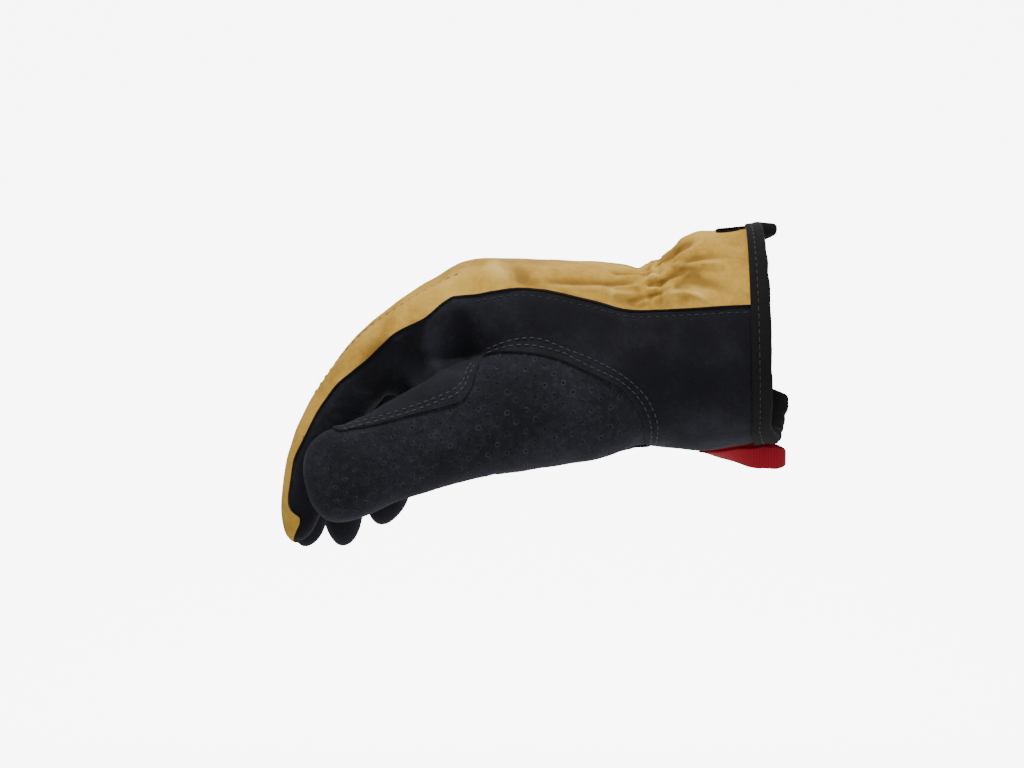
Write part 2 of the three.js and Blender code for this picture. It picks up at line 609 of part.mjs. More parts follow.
// Pull loop: webbing doubled back on itself, sewn under the cuff and hanging out past its edge. It lies flat
// where it is sewn and turns onto its side on the way out.
const LOOP_AT = 0.19; // where it is sewn, a share of HAND_LENGTH
const LOOP_SIDE = 0.09; // a share of PALM_WIDTH
const LOOP_DROP = THREE.MathUtils.degToRad(4);
const LOOP_TURN = THREE.MathUtils.degToRad(81);
const LOOP_TURN_FROM = 0.3; // shares of LOOP_LENGTH
const LOOP_TURN_OVER = 0.45;
const LOOP_SPREAD_FROM = 0.45; // a share of its straight run
const LOOP_CLEAR = 2.5 * GAP; // under the leather, down to its upper layer
function loopSolid() {
  const half = LOOP_THICK / 2;
  const under = column(HAND, "bottom", LOOP_AT) * CUFF_HEIGHT - LOOP_CLEAR - LOOP_THICK;
  const start = new THREE.Vector3(-LOOP_AT * HAND_LENGTH, LOOP_SIDE * PALM_WIDTH, under);
  const along = new THREE.Vector3(Math.cos(LOOP_DROP), 0, -Math.sin(LOOP_DROP));
  const bend = LOOP_OPENING / 2 + half;
  const straight = LOOP_LENGTH - bend;
  const steps = 11;
  const side = [];
  for (let i = 0; i < steps; i += 1) {
    const t = i / (steps - 1);
    side.push({ run: t * straight, apart: mix(half + GAP / 2, bend, smooth((t - LOOP_SPREAD_FROM) * 2)) });
  }
  const round = [];
  for (let i = 1; i < 8; i += 1) {
    const a = (i / 8) * Math.PI;
    round.push({ run: straight + Math.sin(a) * bend, apart: Math.cos(a) * bend });
  }
  const back = [...side].reverse().map((p) => ({ run: p.run, apart: -p.apart }));
  const route = [...side, ...round, ...back];
  const rings = route.map((p, i) => {
    const before = route[Math.max(i - 1, 0)];
    const after = route[Math.min(i + 1, route.length - 1)];
    const step = new THREE.Vector2(after.run - before.run, after.apart - before.apart).normalize();
    const turn = LOOP_TURN * smooth((p.run / LOOP_LENGTH - LOOP_TURN_FROM) / LOOP_TURN_OVER);
    const wide = new THREE.Vector3(0, Math.cos(turn), -Math.sin(turn));
    const across = new THREE.Vector3().crossVectors(along, wide).normalize();
    const middle = start.clone().addScaledVector(along, p.run).addScaledVector(across, p.apart);
    const thick = along.clone().multiplyScalar(-step.y).addScaledVector(across, step.x);
    const corner = (w, t) =>
      middle.clone().addScaledVector(wide, (w * LOOP_WIDTH) / 2).addScaledVector(thick, t * half);
    return [corner(-1, -1), corner(1, -1), corner(1, 1), corner(-1, 1)];
  });
  return blockLoft(rings);
}

// Materials, in the photograph's colours
const TAN = { color: 0xc9a468, roughness: 0.95, metalness: 0 };
const BLACK = { color: 0x1c1c21, roughness: 0.9, metalness: 0 };
const PERFORATED = { color: 0x202026, roughness: 0.92, metalness: 0 };
const TAPE = { color: 0x242428, roughness: 0.95, metalness: 0 };
const RED = { color: 0xb01822, roughness: 0.85, metalness: 0 };

const FINEST = 1e-3; // points nearer than this are one
const SIMPLE = 0.03; // how far a cut edge may move when its crumbs are taken out

// A solid as it is once its nearest points are one.
function tidied(solid) {
  const made = mainBody(solid.simplify(SIMPLE)).getMesh();
  const geometry = new THREE.BufferGeometry();
  geometry.setAttribute("position", new THREE.BufferAttribute(new Float32Array(made.vertProperties), 3));
  geometry.setIndex(new THREE.BufferAttribute(new Uint32Array(made.triVerts), 1));
  const merged = mergeVertices(geometry, FINEST);
  const faces = [];
  for (let i = 0; i < merged.index.count; i += 3)
    faces.push([merged.index.getX(i), merged.index.getX(i + 1), merged.index.getX(i + 2)]);
  const whole = faces.filter(([a, b, c]) => a !== b && b !== c && c !== a);
  return mainBody(solidFrom([...merged.attributes.position.array], whole));
}

const glove = new THREE.Group();
function add(name, solid, look) {
  const made = tidied(solid).getMesh();
  const geometry = new THREE.BufferGeometry();
  geometry.setAttribute("position", new THREE.BufferAttribute(new Float32Array(made.vertProperties), 3));
  geometry.setIndex(new THREE.BufferAttribute(new Uint32Array(made.triVerts), 1));
  geometry.computeVertexNormals();
  const mesh = new THREE.Mesh(geometry, new THREE.MeshStandardMaterial(look));
  mesh.name = name;
  glove.add(mesh);
}

add("back_panel", back, TAN);
add("palm_panel", palm, BLACK);
add("thumb_panel", panel, PERFORATED);
add("thumb_back", thumbBack, BLACK);
strips.forEach((strip, i) => add("fourchette_" + FINGERS[i].name + "_" + FINGERS[i + 1].name, strip, BLACK));
add("cuff_binding", bindingSolid(), TAPE);
add("cuff_tab", tabSolid(), TAPE);
add("pull_loop", loopSolid(), RED);

export default glove;
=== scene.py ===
import math

import bpy
import numpy as np
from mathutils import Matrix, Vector
from mathutils.bvhtree import BVHTree


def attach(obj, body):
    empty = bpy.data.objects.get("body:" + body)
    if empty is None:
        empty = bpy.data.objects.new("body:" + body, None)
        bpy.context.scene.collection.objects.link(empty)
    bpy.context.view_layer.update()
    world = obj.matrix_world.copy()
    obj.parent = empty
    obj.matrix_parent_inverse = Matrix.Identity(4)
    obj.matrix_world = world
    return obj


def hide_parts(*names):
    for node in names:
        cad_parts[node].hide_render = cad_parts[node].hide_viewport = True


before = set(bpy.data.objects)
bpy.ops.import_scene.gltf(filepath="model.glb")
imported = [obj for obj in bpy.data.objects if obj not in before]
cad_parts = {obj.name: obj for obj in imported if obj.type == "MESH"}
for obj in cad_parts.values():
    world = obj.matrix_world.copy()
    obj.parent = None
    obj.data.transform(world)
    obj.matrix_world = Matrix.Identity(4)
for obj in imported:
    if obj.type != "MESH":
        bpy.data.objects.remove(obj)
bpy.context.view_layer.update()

# The glove's leather is one smooth form, close to the solids', cut along its seams into panels.
# Lengths here are millimetres, and become metres when a mesh is made.
MM = 0.001

HAND_LENGTH = 130.0
CUFF_HEIGHT = 84.0
PALM_WIDTH = 89.0
FINGER_LENGTH = 120.0
THUMB_LENGTH = 130.0
THUMB_HEIGHT = 46.0
THUMB_WIDTH = 40.0
FINGER_GAP = 0.8
CUFF_FLARE = 7.0
BINDING_WIDTH = 7.6
FINGER_PITCH = PALM_WIDTH / 4
FINGER_RADIUS = (FINGER_PITCH - FINGER_GAP) / 2
THUMB_START = 0.335
THUMB_CROTCH = 0.53

# Hand: share of the length, top, bottom, half width, squareness, lean
HAND = np.array([
    [-0.07, 0.505, -0.472, 0.395, 2.1, 0],
    [0.0, 0.5, -0.478, 0.395, 2.1, 0],
    [0.065, 0.487, -0.496, 0.4, 2.1, 0],
    [0.135, 0.468, -0.512, 0.405, 2.1, 0],
    [0.19, 0.465, -0.52, 0.4, 2.1, 0],
    [0.22, 0.45, -0.518, 0.395, 2.1, 0],
    [0.247, 0.432, -0.514, 0.385, 2.1, 0],
    [0.275, 0.387, -0.51, 0.372, 2.1, 0],
    [0.305, 0.354, -0.506, 0.362, 2.1, 0],
    [0.335, 0.328, -0.504, 0.358, 2.1, 0],
    [0.365, 0.312, -0.5, 0.362, 2.1, 0],
    [0.41, 0.316, -0.478, 0.385, 2.15, 0],
    [0.48, 0.326, -0.44, 0.42, 2.2, 0],
    [0.6, 0.334, -0.365, 0.462, 2.25, 0],
    [0.715, 0.342, -0.28, 0.486, 2.3, 0],
    [0.8, 0.348, -0.205, 0.497, 2.3, 0.01],
    [0.86, 0.341, -0.16, 0.5, 2.2, 0.02],
    [0.905, 0.316, -0.145, 0.5, 2.1, 0.03],
    [0.95, 0.26, -0.15, 0.492, 2.05, 0.04],
    [0.985, 0.2, -0.145, 0.47, 2.05, 0.045],
    [1.0, 0.14, -0.11, 0.44, 2.05, 0.045],
])

# Fingers: knuckle's share and level, pitches across, three bones, three bends
FINGERS = [
    (0.833, 0.155, -1.5, (0.363, 0.325, 0.32), (29.5, 54, 77)),
    (0.846, 0.19, -0.5, (0.373, 0.355, 0.3), (33, 58, 83)),
    (0.831, 0.17, 0.5, (0.35, 0.333, 0.292), (34, 64, 89)),
    (0.792, 0.14, 1.5, (0.3, 0.283, 0.262), (36, 76, 77)),
]

# Finger section: share of the middle line, back, front, wide
FINGER_SECTION = np.array([
    [0.0, 0.6, 0.6, 0.6],
    [0.08, 0.92, 0.95, 0.9],
    [0.17, 1.07, 1.3, 1.0],
    [0.3, 1.03, 1.3, 1.0],
    [0.5, 0.94, 1.15, 0.98],
    [0.68, 0.82, 0.98, 0.96],
    [0.82, 0.76, 0.86, 0.93],
    [0.905, 0.72, 0.79, 0.87],
])
FINGER_SEAM = np.array([
    [0.0, 0.3], [0.3, 0.24], [0.5, 0.3], [0.68, 0.45], [0.88, 0.48], [0.935, -0.15], [1.06, -0.2],
])

# Thumb: share of its length, across, level, tall, wide
THUMB = np.array([
    [0.0, -0.16, -0.27, 0.36, 0.34],
    [0.14, -0.265, -0.29, 0.48, 0.44],
    [0.26, -0.33, -0.314, 0.494, 0.49],
    [0.377, -0.385, -0.342, 0.494, 0.49],
    [0.49, -0.44, -0.372, 0.484, 0.44],
    [0.607, -0.507, -0.435, 0.455, 0.38],
    [0.73, -0.575, -0.51, 0.428, 0.33],
    [0.823, -0.622, -0.584, 0.408, 0.31],
    [0.877, -0.642, -0.614, 0.395, 0.295],
    [0.925, -0.655, -0.622, 0.376, 0.278],
    [0.962, -0.66, -0.618, 0.36, 0.265],
    [1.0, -0.662, -0.601, 0.34, 0.25],
])
THUMB_CAP = 0.89

# Seams in the side view: share of the hand's length, level
SIDE_SEAM = np.array([
    [-0.2, 0.131], [0.05, 0.131], [0.34, 0.109], [0.41, 0.113], [0.47, 0.135], [0.51, 0.152],
    [0.6, 0.18], [0.665, 0.198], [0.725, 0.204], [0.8, 0.19], [0.84, 0.178], [0.885, 0.172],
    [0.912, 0.165], [0.935, 0.145], [0.955, 0.118], [0.98, 0.083],
])
PANEL_EDGE = np.array([
    [0.34, -0.62], [0.343, -0.56], [0.348, -0.5], [0.354, -0.44], [0.364, -0.37], [0.388, -0.305],
    [0.425, -0.24], [0.482, -0.192], [0.54, -0.152], [0.6, -0.113], [0.66, -0.09], [0.72, -0.079],
    [0.775, -0.079], [0.82, -0.1], [0.843, -0.17], [0.856, -0.235], [0.878, -0.283], [0.915, -0.31],
    [1.02, -0.352], [1.1, -0.385], [1.19, -0.416], [1.25, -0.41], [1.262, -0.3], [1.45, -0.2],
])


def column(table, col, at):
    """A column's value at a place in a table, passing smoothly through the rows."""
    xs = table[:, 0]
    v = table[:, col]
    last = len(xs) - 1
    at = np.clip(at, xs[0], xs[-1])
    i = np.clip(np.searchsorted(xs, at, side="left") - 1, 0, last - 1)
    lo = np.maximum(i - 1, 0)
    hi = np.minimum(i + 2, last)
    span = xs[i + 1] - xs[i]
    t = (at - xs[i]) / span
    slope_a = (v[i + 1] - v[lo]) / (xs[i + 1] - xs[lo]) * span
    slope_b = (v[hi] - v[i]) / (xs[hi] - xs[i]) * span
    t2 = t * t
    t3 = t2 * t
    start = (2 * t3 - 3 * t2 + 1) * v[i] + (t3 - 2 * t2 + t) * slope_a
    return start + (3 * t2 - 2 * t3) * v[i + 1] + (t3 - t2) * slope_b


def smooth(t):
    c = np.clip(t, 0, 1)
    return c * c * (3 - 2 * c)


def joined(a, b, k):
    """The union of two distances, with a fillet of about k."""
    h = np.maximum(k - np.abs(a - b), 0) / k
    return np.minimum(a, b) - h * h * k / 4


def hand_section(at):
    top = column(HAND, 1, at) * CUFF_HEIGHT
    bottom = column(HAND, 2, at) * CUFF_HEIGHT
    return (top + bottom) / 2, (top - bottom) / 2, column(HAND, 3, at) * PALM_WIDTH, column(HAND, 4, at)


def hand_at(x, y):
    at = -x / HAND_LENGTH
    across = np.clip(y / (column(HAND, 3, at) * PALM_WIDTH), 0, 1)
    return column(HAND, 5, at) * across - x / HAND_LENGTH


def hand_field(x, y, z):
    at = hand_at(x, y)
    middle, tall, half, power = hand_section(at)
    u = np.abs(y) / half
    v = np.abs(z - middle) / tall
    r = np.maximum((u ** power + v ** power) ** (1 / power), 0.05)
    d = np.hypot(y, z - middle) * (1 - 1 / r)
    hand = -joined(-d, -(at - 1) * HAND_LENGTH, 4.0)
    return joined(hand, web(x, y, z), 6.0)


def web(x, y, z):
    """The fold of leather that joins the thumb's root to the palm."""
    a, b, c = x + 128, y + 31, z + 14.5
    r = np.maximum(np.sqrt((a / 21) ** 2 + (b / 11) ** 2 + (c / 10.5) ** 2), 0.05)
    return np.sqrt(a * a + b * b + c * c) * (1 - 1 / r)


class Finger:
    def __init__(self, row):
        at, level, across, bones, bends = row
        self.y = across * FINGER_PITCH
        knuckle = np.array([-at * HAND_LENGTH, level * CUFF_HEIGHT])

        def forward(bend):
            return np.array([-math.cos(math.radians(bend)), -math.sin(math.radians(bend))])

        points = [knuckle - forward(0.4 * bends[0]) * 0.12 * FINGER_LENGTH, knuckle]
        for bone, bend in zip(bones, bends):
            points.append(points[-1] + forward(bend) * bone * FINGER_LENGTH)
        line = self.curve(points, 60)
        run = np.concatenate([[0], np.cumsum(np.hypot(*np.diff(line, axis=0).T))])
        self.length = run[-1]
        self.s = np.linspace(0, self.length, 110)
        self.p = np.stack([np.interp(self.s, run, line[:, 0]), np.interp(self.s, run, line[:, 1])], 1)
        step = np.gradient(self.p, axis=0)
        self.along = step / np.hypot(*step.T)[:, None]
        self.up = np.stack([self.along[:, 1], -self.along[:, 0]], 1)

    @staticmethod
    def curve(points, steps):
        """A centripetal curve through points, ending at both end points."""
        first = 2 * points[0] - points[1]
        last = 2 * points[-1] - points[-2]
        p = [first, *points, last]
        out = []
        for i in range(1, len(p) - 2):
            gaps = [float(np.sum((p[i + k] - p[i + k - 1]) ** 2)) ** 0.25 for k in (0, 1, 2)]
            here = (p[i + 1] - p[i]) / gaps[1]
            a = (p[i] - p[i - 1]) / gaps[0] - (p[i + 1] - p[i - 1]) / (gaps[0] + gaps[1]) + here
            b = here - (p[i + 2] - p[i]) / (gaps[1] + gaps[2]) + (p[i + 2] - p[i + 1]) / gaps[2]
            a = a * gaps[1]
            b = b * gaps[1]
            for t in np.linspace(0, 1, steps, endpoint=False):
                out.append(p[i] + a * t + (-3 * p[i] + 3 * p[i + 1] - 2 * a - b) * t * t
                           + (2 * p[i] - 2 * p[i + 1] + a + b) * t ** 3)
        out.append(p[-2])
        return np.array(out)

    def place(self, x, z):
        """Share of the middle line, and height over it, of points in the side view."""
        shape = np.shape(x)
        q = np.stack([np.ravel(x), np.ravel(z)], 1)
        share = np.empty(len(q))
        rise = np.empty(len(q))
        for a in range(0, len(q), 20000):
            part = q[a:a + 20000]
            far = (part[:, :1] - self.p[None, :, 0]) ** 2 + (part[:, 1:] - self.p[None, :, 1]) ** 2
            k = np.argmin(far, axis=1)
            rel = part - self.p[k]
            share[a:a + 20000] = (self.s[k] + np.sum(rel * self.along[k], 1)) / self.length
            rise[a:a + 20000] = np.sum(rel * self.up[k], 1)
        return share.reshape(shape), rise.reshape(shape)

    def field(self, share, rise, y):
        cap = 0.86
        at = np.clip(share, 0, cap)
        back = column(FINGER_SECTION, 1, at)
        front = column(FINGER_SECTION, 2, at)
        side = np.where(rise > 0, back, front) * FINGER_RADIUS
        wide = column(FINGER_SECTION, 3, at) * FINGER_RADIUS
        past = np.maximum(share - cap, 0) * self.length
        before = np.maximum(0.05 - share, 0) * self.length
        v = np.abs(rise) / side
        u = np.abs(y - self.y) / wide
        r = (u ** 2.2 + v ** 2.2) ** (1 / 2.2)
        r = np.sqrt(r * r + (past / ((1 - cap) * self.length)) ** 2 + (before / 9) ** 2)
        far = np.sqrt((y - self.y) ** 2 + rise ** 2 + past ** 2 + before ** 2)
        d = far * (1 - 1 / np.maximum(r, 0.05))
        return np.maximum(d, np.abs(y - self.y) - (FINGER_PITCH / 2 - 0.25))


fingers = [Finger(row) for row in FINGERS]


def side(px, py):
    """A place in the side view, from the photograph's pixels."""
    return (px - 765) * 0.38, (335 - py) * 0.38


# The seam on the thumb's side of the index finger, where the photograph shows it
INDEX_SEAM_PIXELS = (
    (452, 299), (442, 306), (434, 313), (425, 320), (408, 328), (396, 335), (382, 347), (370, 359),
    (356, 371), (342, 383), (330, 398), (318, 417), (308, 438), (299, 457), (297, 467), (295, 481),
    (293, 497), (294, 505), (298, 511), (303, 514), (303.5, 520), (301, 526), (298, 533),
)


def index_seam():
    rows = []
    for q in INDEX_SEAM_PIXELS:
        x, z = side(*q)
        share, rise = fingers[0].place(np.array(x), np.array(z))
        if not rows or share > rows[-1][0] + 0.004:
            rows.append((float(share), float(rise) / FINGER_RADIUS))
    return np.array(rows)


INDEX_SEAM = index_seam()
OTHER_TIPS = (None, 0.74, 0.74, 0.86)


def seam_level(i, share, y):
    """How far over a finger's middle line its seam lies."""
    level = column(FINGER_SEAM, 1, share)
    if i == 0:
        near = smooth((fingers[0].y - y) / 5 + 0.5)
        return level + (column(INDEX_SEAM, 1, share) - level) * near
    return level + (OTHER_TIPS[i] - level) * smooth((share - 0.74) / 0.12)


def thumb_place(x):
    at = (-x - THUMB_START * HAND_LENGTH) / THUMB_LENGTH
    return at, column(THUMB, 1, at) * PALM_WIDTH, column(THUMB, 2, at) * CUFF_HEIGHT


def thumb_field(x, y, z):
    at, cy, cz = thumb_place(x)
    a = np.minimum(at, THUMB_CAP)
    tall = column(THUMB, 3, a) * THUMB_HEIGHT
    wide = column(THUMB, 4, a) * THUMB_WIDTH
    past = np.maximum(at - THUMB_CAP, 0) * THUMB_LENGTH
    before = np.maximum(-at, 0) * THUMB_LENGTH
    r = ((np.abs(y - cy) / wide) ** 2.3 + (np.abs(z - cz) / tall) ** 2.3) ** (1 / 2.3)
    r = np.sqrt(r * r + (past / ((1 - THUMB_CAP) * THUMB_LENGTH)) ** 2 + (before / 8) ** 2)
    far = np.sqrt((y - cy) ** 2 + (z - cz) ** 2 + past ** 2 + before ** 2)
    return far * (1 - 1 / np.maximum(r, 0.05))


def combine(hand, thumb, fields, x):
    tube = np.minimum.reduce(fields)
    tube = np.where(x < -114, np.maximum(tube, 0.9 - thumb), tube)
    return np.minimum(joined(hand, thumb, 8.0), joined(hand, tube, 3.0)), tube


def field(p):
    x, y, z = p.T
    hand = hand_field(x, y, z)
    thumb = thumb_field(x, y, z)
    fields = []
    for f in fingers:
        share, rise = f.place(x, z)
        fields.append(f.field(share, rise, y))
    return combine(hand, thumb, fields, x)[0]


def gradient(p, eps=0.2):
    g = np.empty_like(p)
    for a in range(3):
        step = np.zeros(3)
        step[a] = eps
        g[:, a] = (field(p + step) - field(p - step)) / (2 * eps)
    return g


def onto(p, times):
    for _ in range(times):
        g = gradient(p)
        size = np.maximum(np.sum(g * g, 1), 0.05)
        move = g * (field(p) / size)[:, None]
        length = np.linalg.norm(move, axis=1)
        p = p - move * np.minimum(1, 0.7 / np.maximum(length, 1e-9))[:, None]
    return p


# Grid planes fall in the gaps between the fingers.
STEP = 1.0
STEP_Y = FINGER_PITCH / 22
xs = np.arange(-188, 14, STEP)
ys = np.arange(-74, 51) * STEP_Y
zs = np.arange(-87, 48, STEP)


def grid_field():
    x, y, z = np.meshgrid(xs, ys, zs, indexing="ij", sparse=True)
    full = (len(xs), len(ys), len(zs))
    hand = np.full(full, 50.0)
    i = xs > -142
    hand[i] = hand_field(x[i], y, z)
    thumb = np.full(full, 50.0)
    j = ys < 12
    thumb[:, j] = thumb_field(x, y[:, j], z)
    share_of = []
    for f in fingers:
        share, rise = f.place(*np.broadcast_arrays(x[:, 0, :], z[:, 0, :]))
        share_of.append(f.field(share[:, None, :], rise[:, None, :], y))
    return combine(hand, thumb, share_of, np.broadcast_to(x, full))[0]


def surface_nets(values, gx, gy, gz):
    inside = values < 0
    n = tuple(s - 1 for s in values.shape)
    corners = [(a, b, c) for a in (0, 1) for b in (0, 1) for c in (0, 1)]
    count = sum(inside[a:a + n[0], b:b + n[1], c:c + n[2]].astype(np.int8) for a, b, c in corners)
    active = (count > 0) & (count < 8)
    ci, cj, ck = np.nonzero(active)
    index = np.full(n, -1)
    index[active] = np.arange(len(ci))
    at_corner = [values[ci + a, cj + b, ck + c] for a, b, c in corners]
    total = np.zeros((len(ci), 3))
    hits = np.zeros(len(ci))
    for m in range(8):
        for k in range(m + 1, 8):
            if sum(abs(corners[m][e] - corners[k][e]) for e in range(3)) != 1:
                continue
            va, vb = at_corner[m], at_corner[k]
            crossing = (va < 0) != (vb < 0)
            t = np.where(crossing, va / np.where(crossing, va - vb, 1), 0)
            first = np.array(corners[m])
            spot = first[None] + t[:, None] * (np.array(corners[k]) - first)[None]
            total += spot * crossing[:, None]
            hits += crossing
    local = total / hits[:, None]
    step = [gx[1] - gx[0], gy[1] - gy[0], gz[1] - gz[0]]
    points = np.stack([gx[ci], gy[cj], gz[ck]], 1) + local * np.array(step)
    quads = []
    around = {0: ((0, -1, -1), (0, 0, -1), (0, 0, 0), (0, -1, 0)),
              1: ((-1, 0, -1), (-1, 0, 0), (0, 0, 0), (0, 0, -1)),
              2: ((-1, -1, 0), (0, -1, 0), (0, 0, 0), (-1, 0, 0))}
    for axis in range(3):
        lo = [slice(1, -1)] * 3
        hi = [slice(1, -1)] * 3
        lo[axis] = slice(0, -1)
        hi[axis] = slice(1, None)
        a = inside[tuple(lo)]
        b = inside[tuple(hi)]
        i, j, k = np.nonzero(a != b)
        out = a[i, j, k]
        at = np.stack([i, j, k], 1) + np.array([0 if e == axis else 1 for e in range(3)])
        q = np.stack([index[tuple((at + np.array(o)).T)] for o in around[axis]], 1)
        quads.append(np.where(out[:, None], q, q[:, ::-1]))
    return points, np.concatenate(quads)


def triangles(quads):
    return np.concatenate([quads[:, [0, 1, 2]], quads[:, [0, 2, 3]]])


def relaxed(points, faces, share):
    edges = np.concatenate([faces[:, [0, 1]], faces[:, [1, 2]], faces[:, [2, 3]], faces[:, [3, 0]]])
    edges = np.concatenate([edges, edges[:, ::-1]])
    near = np.stack([np.bincount(edges[:, 0], points[edges[:, 1], e], len(points)) for e in range(3)], 1)
    near /= np.maximum(np.bincount(edges[:, 0], minlength=len(points)), 1)[:, None]
    return points + (near - points) * share


form, quads = surface_nets(grid_field(), xs, ys, zs)
form = onto(form, 2)
for _ in range(2):
    form = onto(relaxed(form, quads, 0.5), 1)


# Which leather a point belongs to: each function is above zero inside its panel.
def cuff_edge(angle):
    """How far the cuff's edge stands past the wrist's end: angle 0 is the far side, and pi / 2 the back."""
    turned = np.arctan2(np.sin(angle), np.cos(angle))
    return CUFF_FLARE * (0.15 * (1 - np.sin(angle)) + flap(turned)) - narrowed(turned)


def flap(turned):
    """The corners that stick out: at the back of the far side, and under it."""
    over = 0.43 * np.exp(-(((turned - 1.28) / 0.13) ** 2))
    return over + np.interp(turned, [-2.1, -1.45, -0.96, -0.66, -0.54], [0, 0.3, 0.7, 1.05, 0])


def narrowed(turned):
    """How much narrower the binding is than at its corners."""
    back = np.maximum(np.sin(turned), 0)
    corner = np.clip(flap(turned) * 3, 0, 1)
    return (1.8 + 1.6 * back ** 3) * (1 - corner)


def hand_angle(p):
    x, y, z = p.T
    middle, tall, half, _ = hand_section(hand_at(x, y))
    return np.arctan2((z - middle) / tall, y / half)


def in_cuff(p):
    return cuff_edge(hand_angle(p)) - 0.1 - p[:, 0]


def in_back(p):
    x, y, z = p.T
    best = np.where(x > -0.98 * HAND_LENGTH, z - column(SIDE_SEAM, 1, -x / HAND_LENGTH) * CUFF_HEIGHT, -30.0)
    for i, f in enumerate(fingers):
        share, rise = f.place(x, z)
        level = rise - seam_level(i, share, y) * FINGER_RADIUS
        mine = (share > 0.13) & (share < 1.06)
        if i > 0:
            mine &= y > f.y - FINGER_PITCH / 2
        if i < 3:
            mine &= y < f.y + FINGER_PITCH / 2
        best = np.where(mine, np.maximum(best, level), best)
    return best


def in_perforated(p):
    x, y, z = p.T
    at, cy, _ = thumb_place(x)
    wrap = column(THUMB, 4, at) * THUMB_WIDTH * 0.36
    share = -x / HAND_LENGTH
    step = 0.004
    change = column(PANEL_EDGE, 1, share + step) - column(PANEL_EDGE, 1, share - step)
    slope = change * CUFF_HEIGHT / (0.008 * HAND_LENGTH)
    below = (column(PANEL_EDGE, 1, share) * CUFF_HEIGHT - z) / np.sqrt(1 + slope * slope)
    below = np.where(x > -0.34 * HAND_LENGTH, np.minimum(below, -0.34 * HAND_LENGTH - x), below)
    return np.minimum(below, cy + wrap - y)


def others(p):
    """Distance to the hand and fingers without the thumb."""
    x, y, z = p.T
    hand = hand_field(x, y, z)
    tubes = []
    for f in fingers:
        share, rise = f.place(x, z)
        tubes.append(f.field(share, rise, y))
    return np.minimum(hand, np.minimum.reduce(tubes))


def on_thumb(p):
    x, y, z = p.T
    far = others(p) - thumb_field(x, y, z)
    return np.minimum(-(THUMB_START * HAND_LENGTH + THUMB_CROTCH * THUMB_LENGTH) - x, far)


def in_strip(p, i):
    x, y, z = p.T
    best = np.full(len(p), -30.0)
    for f, sign in ((fingers[i], 1), (fingers[i + 1], -1)):
        share, rise = f.place(x, z)
        inner = (y - f.y) * sign - 0.5 * FINGER_RADIUS
        ends = np.minimum(share - 0.12, 0.86 - share) * f.length
        here = np.minimum(np.minimum(inner, rise + 0.55 * FINGER_RADIUS), ends)
        best = np.where(np.abs(y - f.y) < FINGER_PITCH / 2, np.maximum(best, here), best)
    return best


def slid(p, g, test, reach, chosen):
    """Points near a seam moved onto it, along the surface."""
    k = np.nonzero((np.abs(g) < reach) & chosen)[0]
    q = p[k]
    grad = np.empty_like(q)
    for a in range(3):
        step = np.zeros(3)
        step[a] = 0.1
        grad[:, a] = (test(q + step) - test(q - step)) / 0.2
    n = gradient(q)
    n /= np.linalg.norm(n, axis=1)[:, None]
    grad -= n * np.sum(grad * n, 1)[:, None]
    size = np.sum(grad * grad, 1)
    good = (size > 0.2) & (size < 4)
    move = -grad * (g[k] / np.maximum(size, 0.2))[:, None]
    good &= np.linalg.norm(move, axis=1) < 0.6
    p = p.copy()
    g = g.copy()
    p[k[good]] = (q + move)[good]
    g[k[good]] = 0
    return p, g


def cut(p, faces, g, chosen):
    """Faces split along g = 0, where chosen."""
    g = np.where(np.abs(g) < 1e-4, 0, g)
    a, b = faces[:, [0, 1, 2]].ravel(), faces[:, [1, 2, 0]].ravel()
    crossing = (g[a] * g[b] < 0).reshape(-1, 3) & chosen[:, None]
    lo = np.minimum(a, b).reshape(-1, 3)[crossing]
    hi = np.maximum(a, b).reshape(-1, 3)[crossing]
    keys, inverse = np.unique(lo.astype(np.int64) * len(p) + hi, return_inverse=True)
    lo, hi = keys // len(p), keys % len(p)
    t = g[lo] / (g[lo] - g[hi])
    made = p[lo] + (p[hi] - p[lo]) * t[:, None]
    new = np.full(crossing.shape, -1)
    new[crossing] = len(p) + inverse.ravel()
    count = crossing.sum(1)
    out = [faces[count == 0]]
    for turn in range(3):
        f = np.roll(faces, -turn, axis=1)
        c = np.roll(crossing, -turn, axis=1)
        m = np.roll(new, -turn, axis=1)
        one = (count == 1) & c[:, 0]
        out.append(np.stack([f[one, 0], m[one, 0], f[one, 2]], 1))
        out.append(np.stack([m[one, 0], f[one, 1], f[one, 2]], 1))
        two = (count >= 2) & c[:, 0] & c[:, 2]
        out.append(np.stack([f[two, 0], m[two, 0], m[two, 2]], 1))
        out.append(np.stack([m[two, 0], f[two, 1], f[two, 2]], 1))
        out.append(np.stack([m[two, 0], f[two, 2], m[two, 2]], 1))
    return np.concatenate([p, made]), np.concatenate(out)


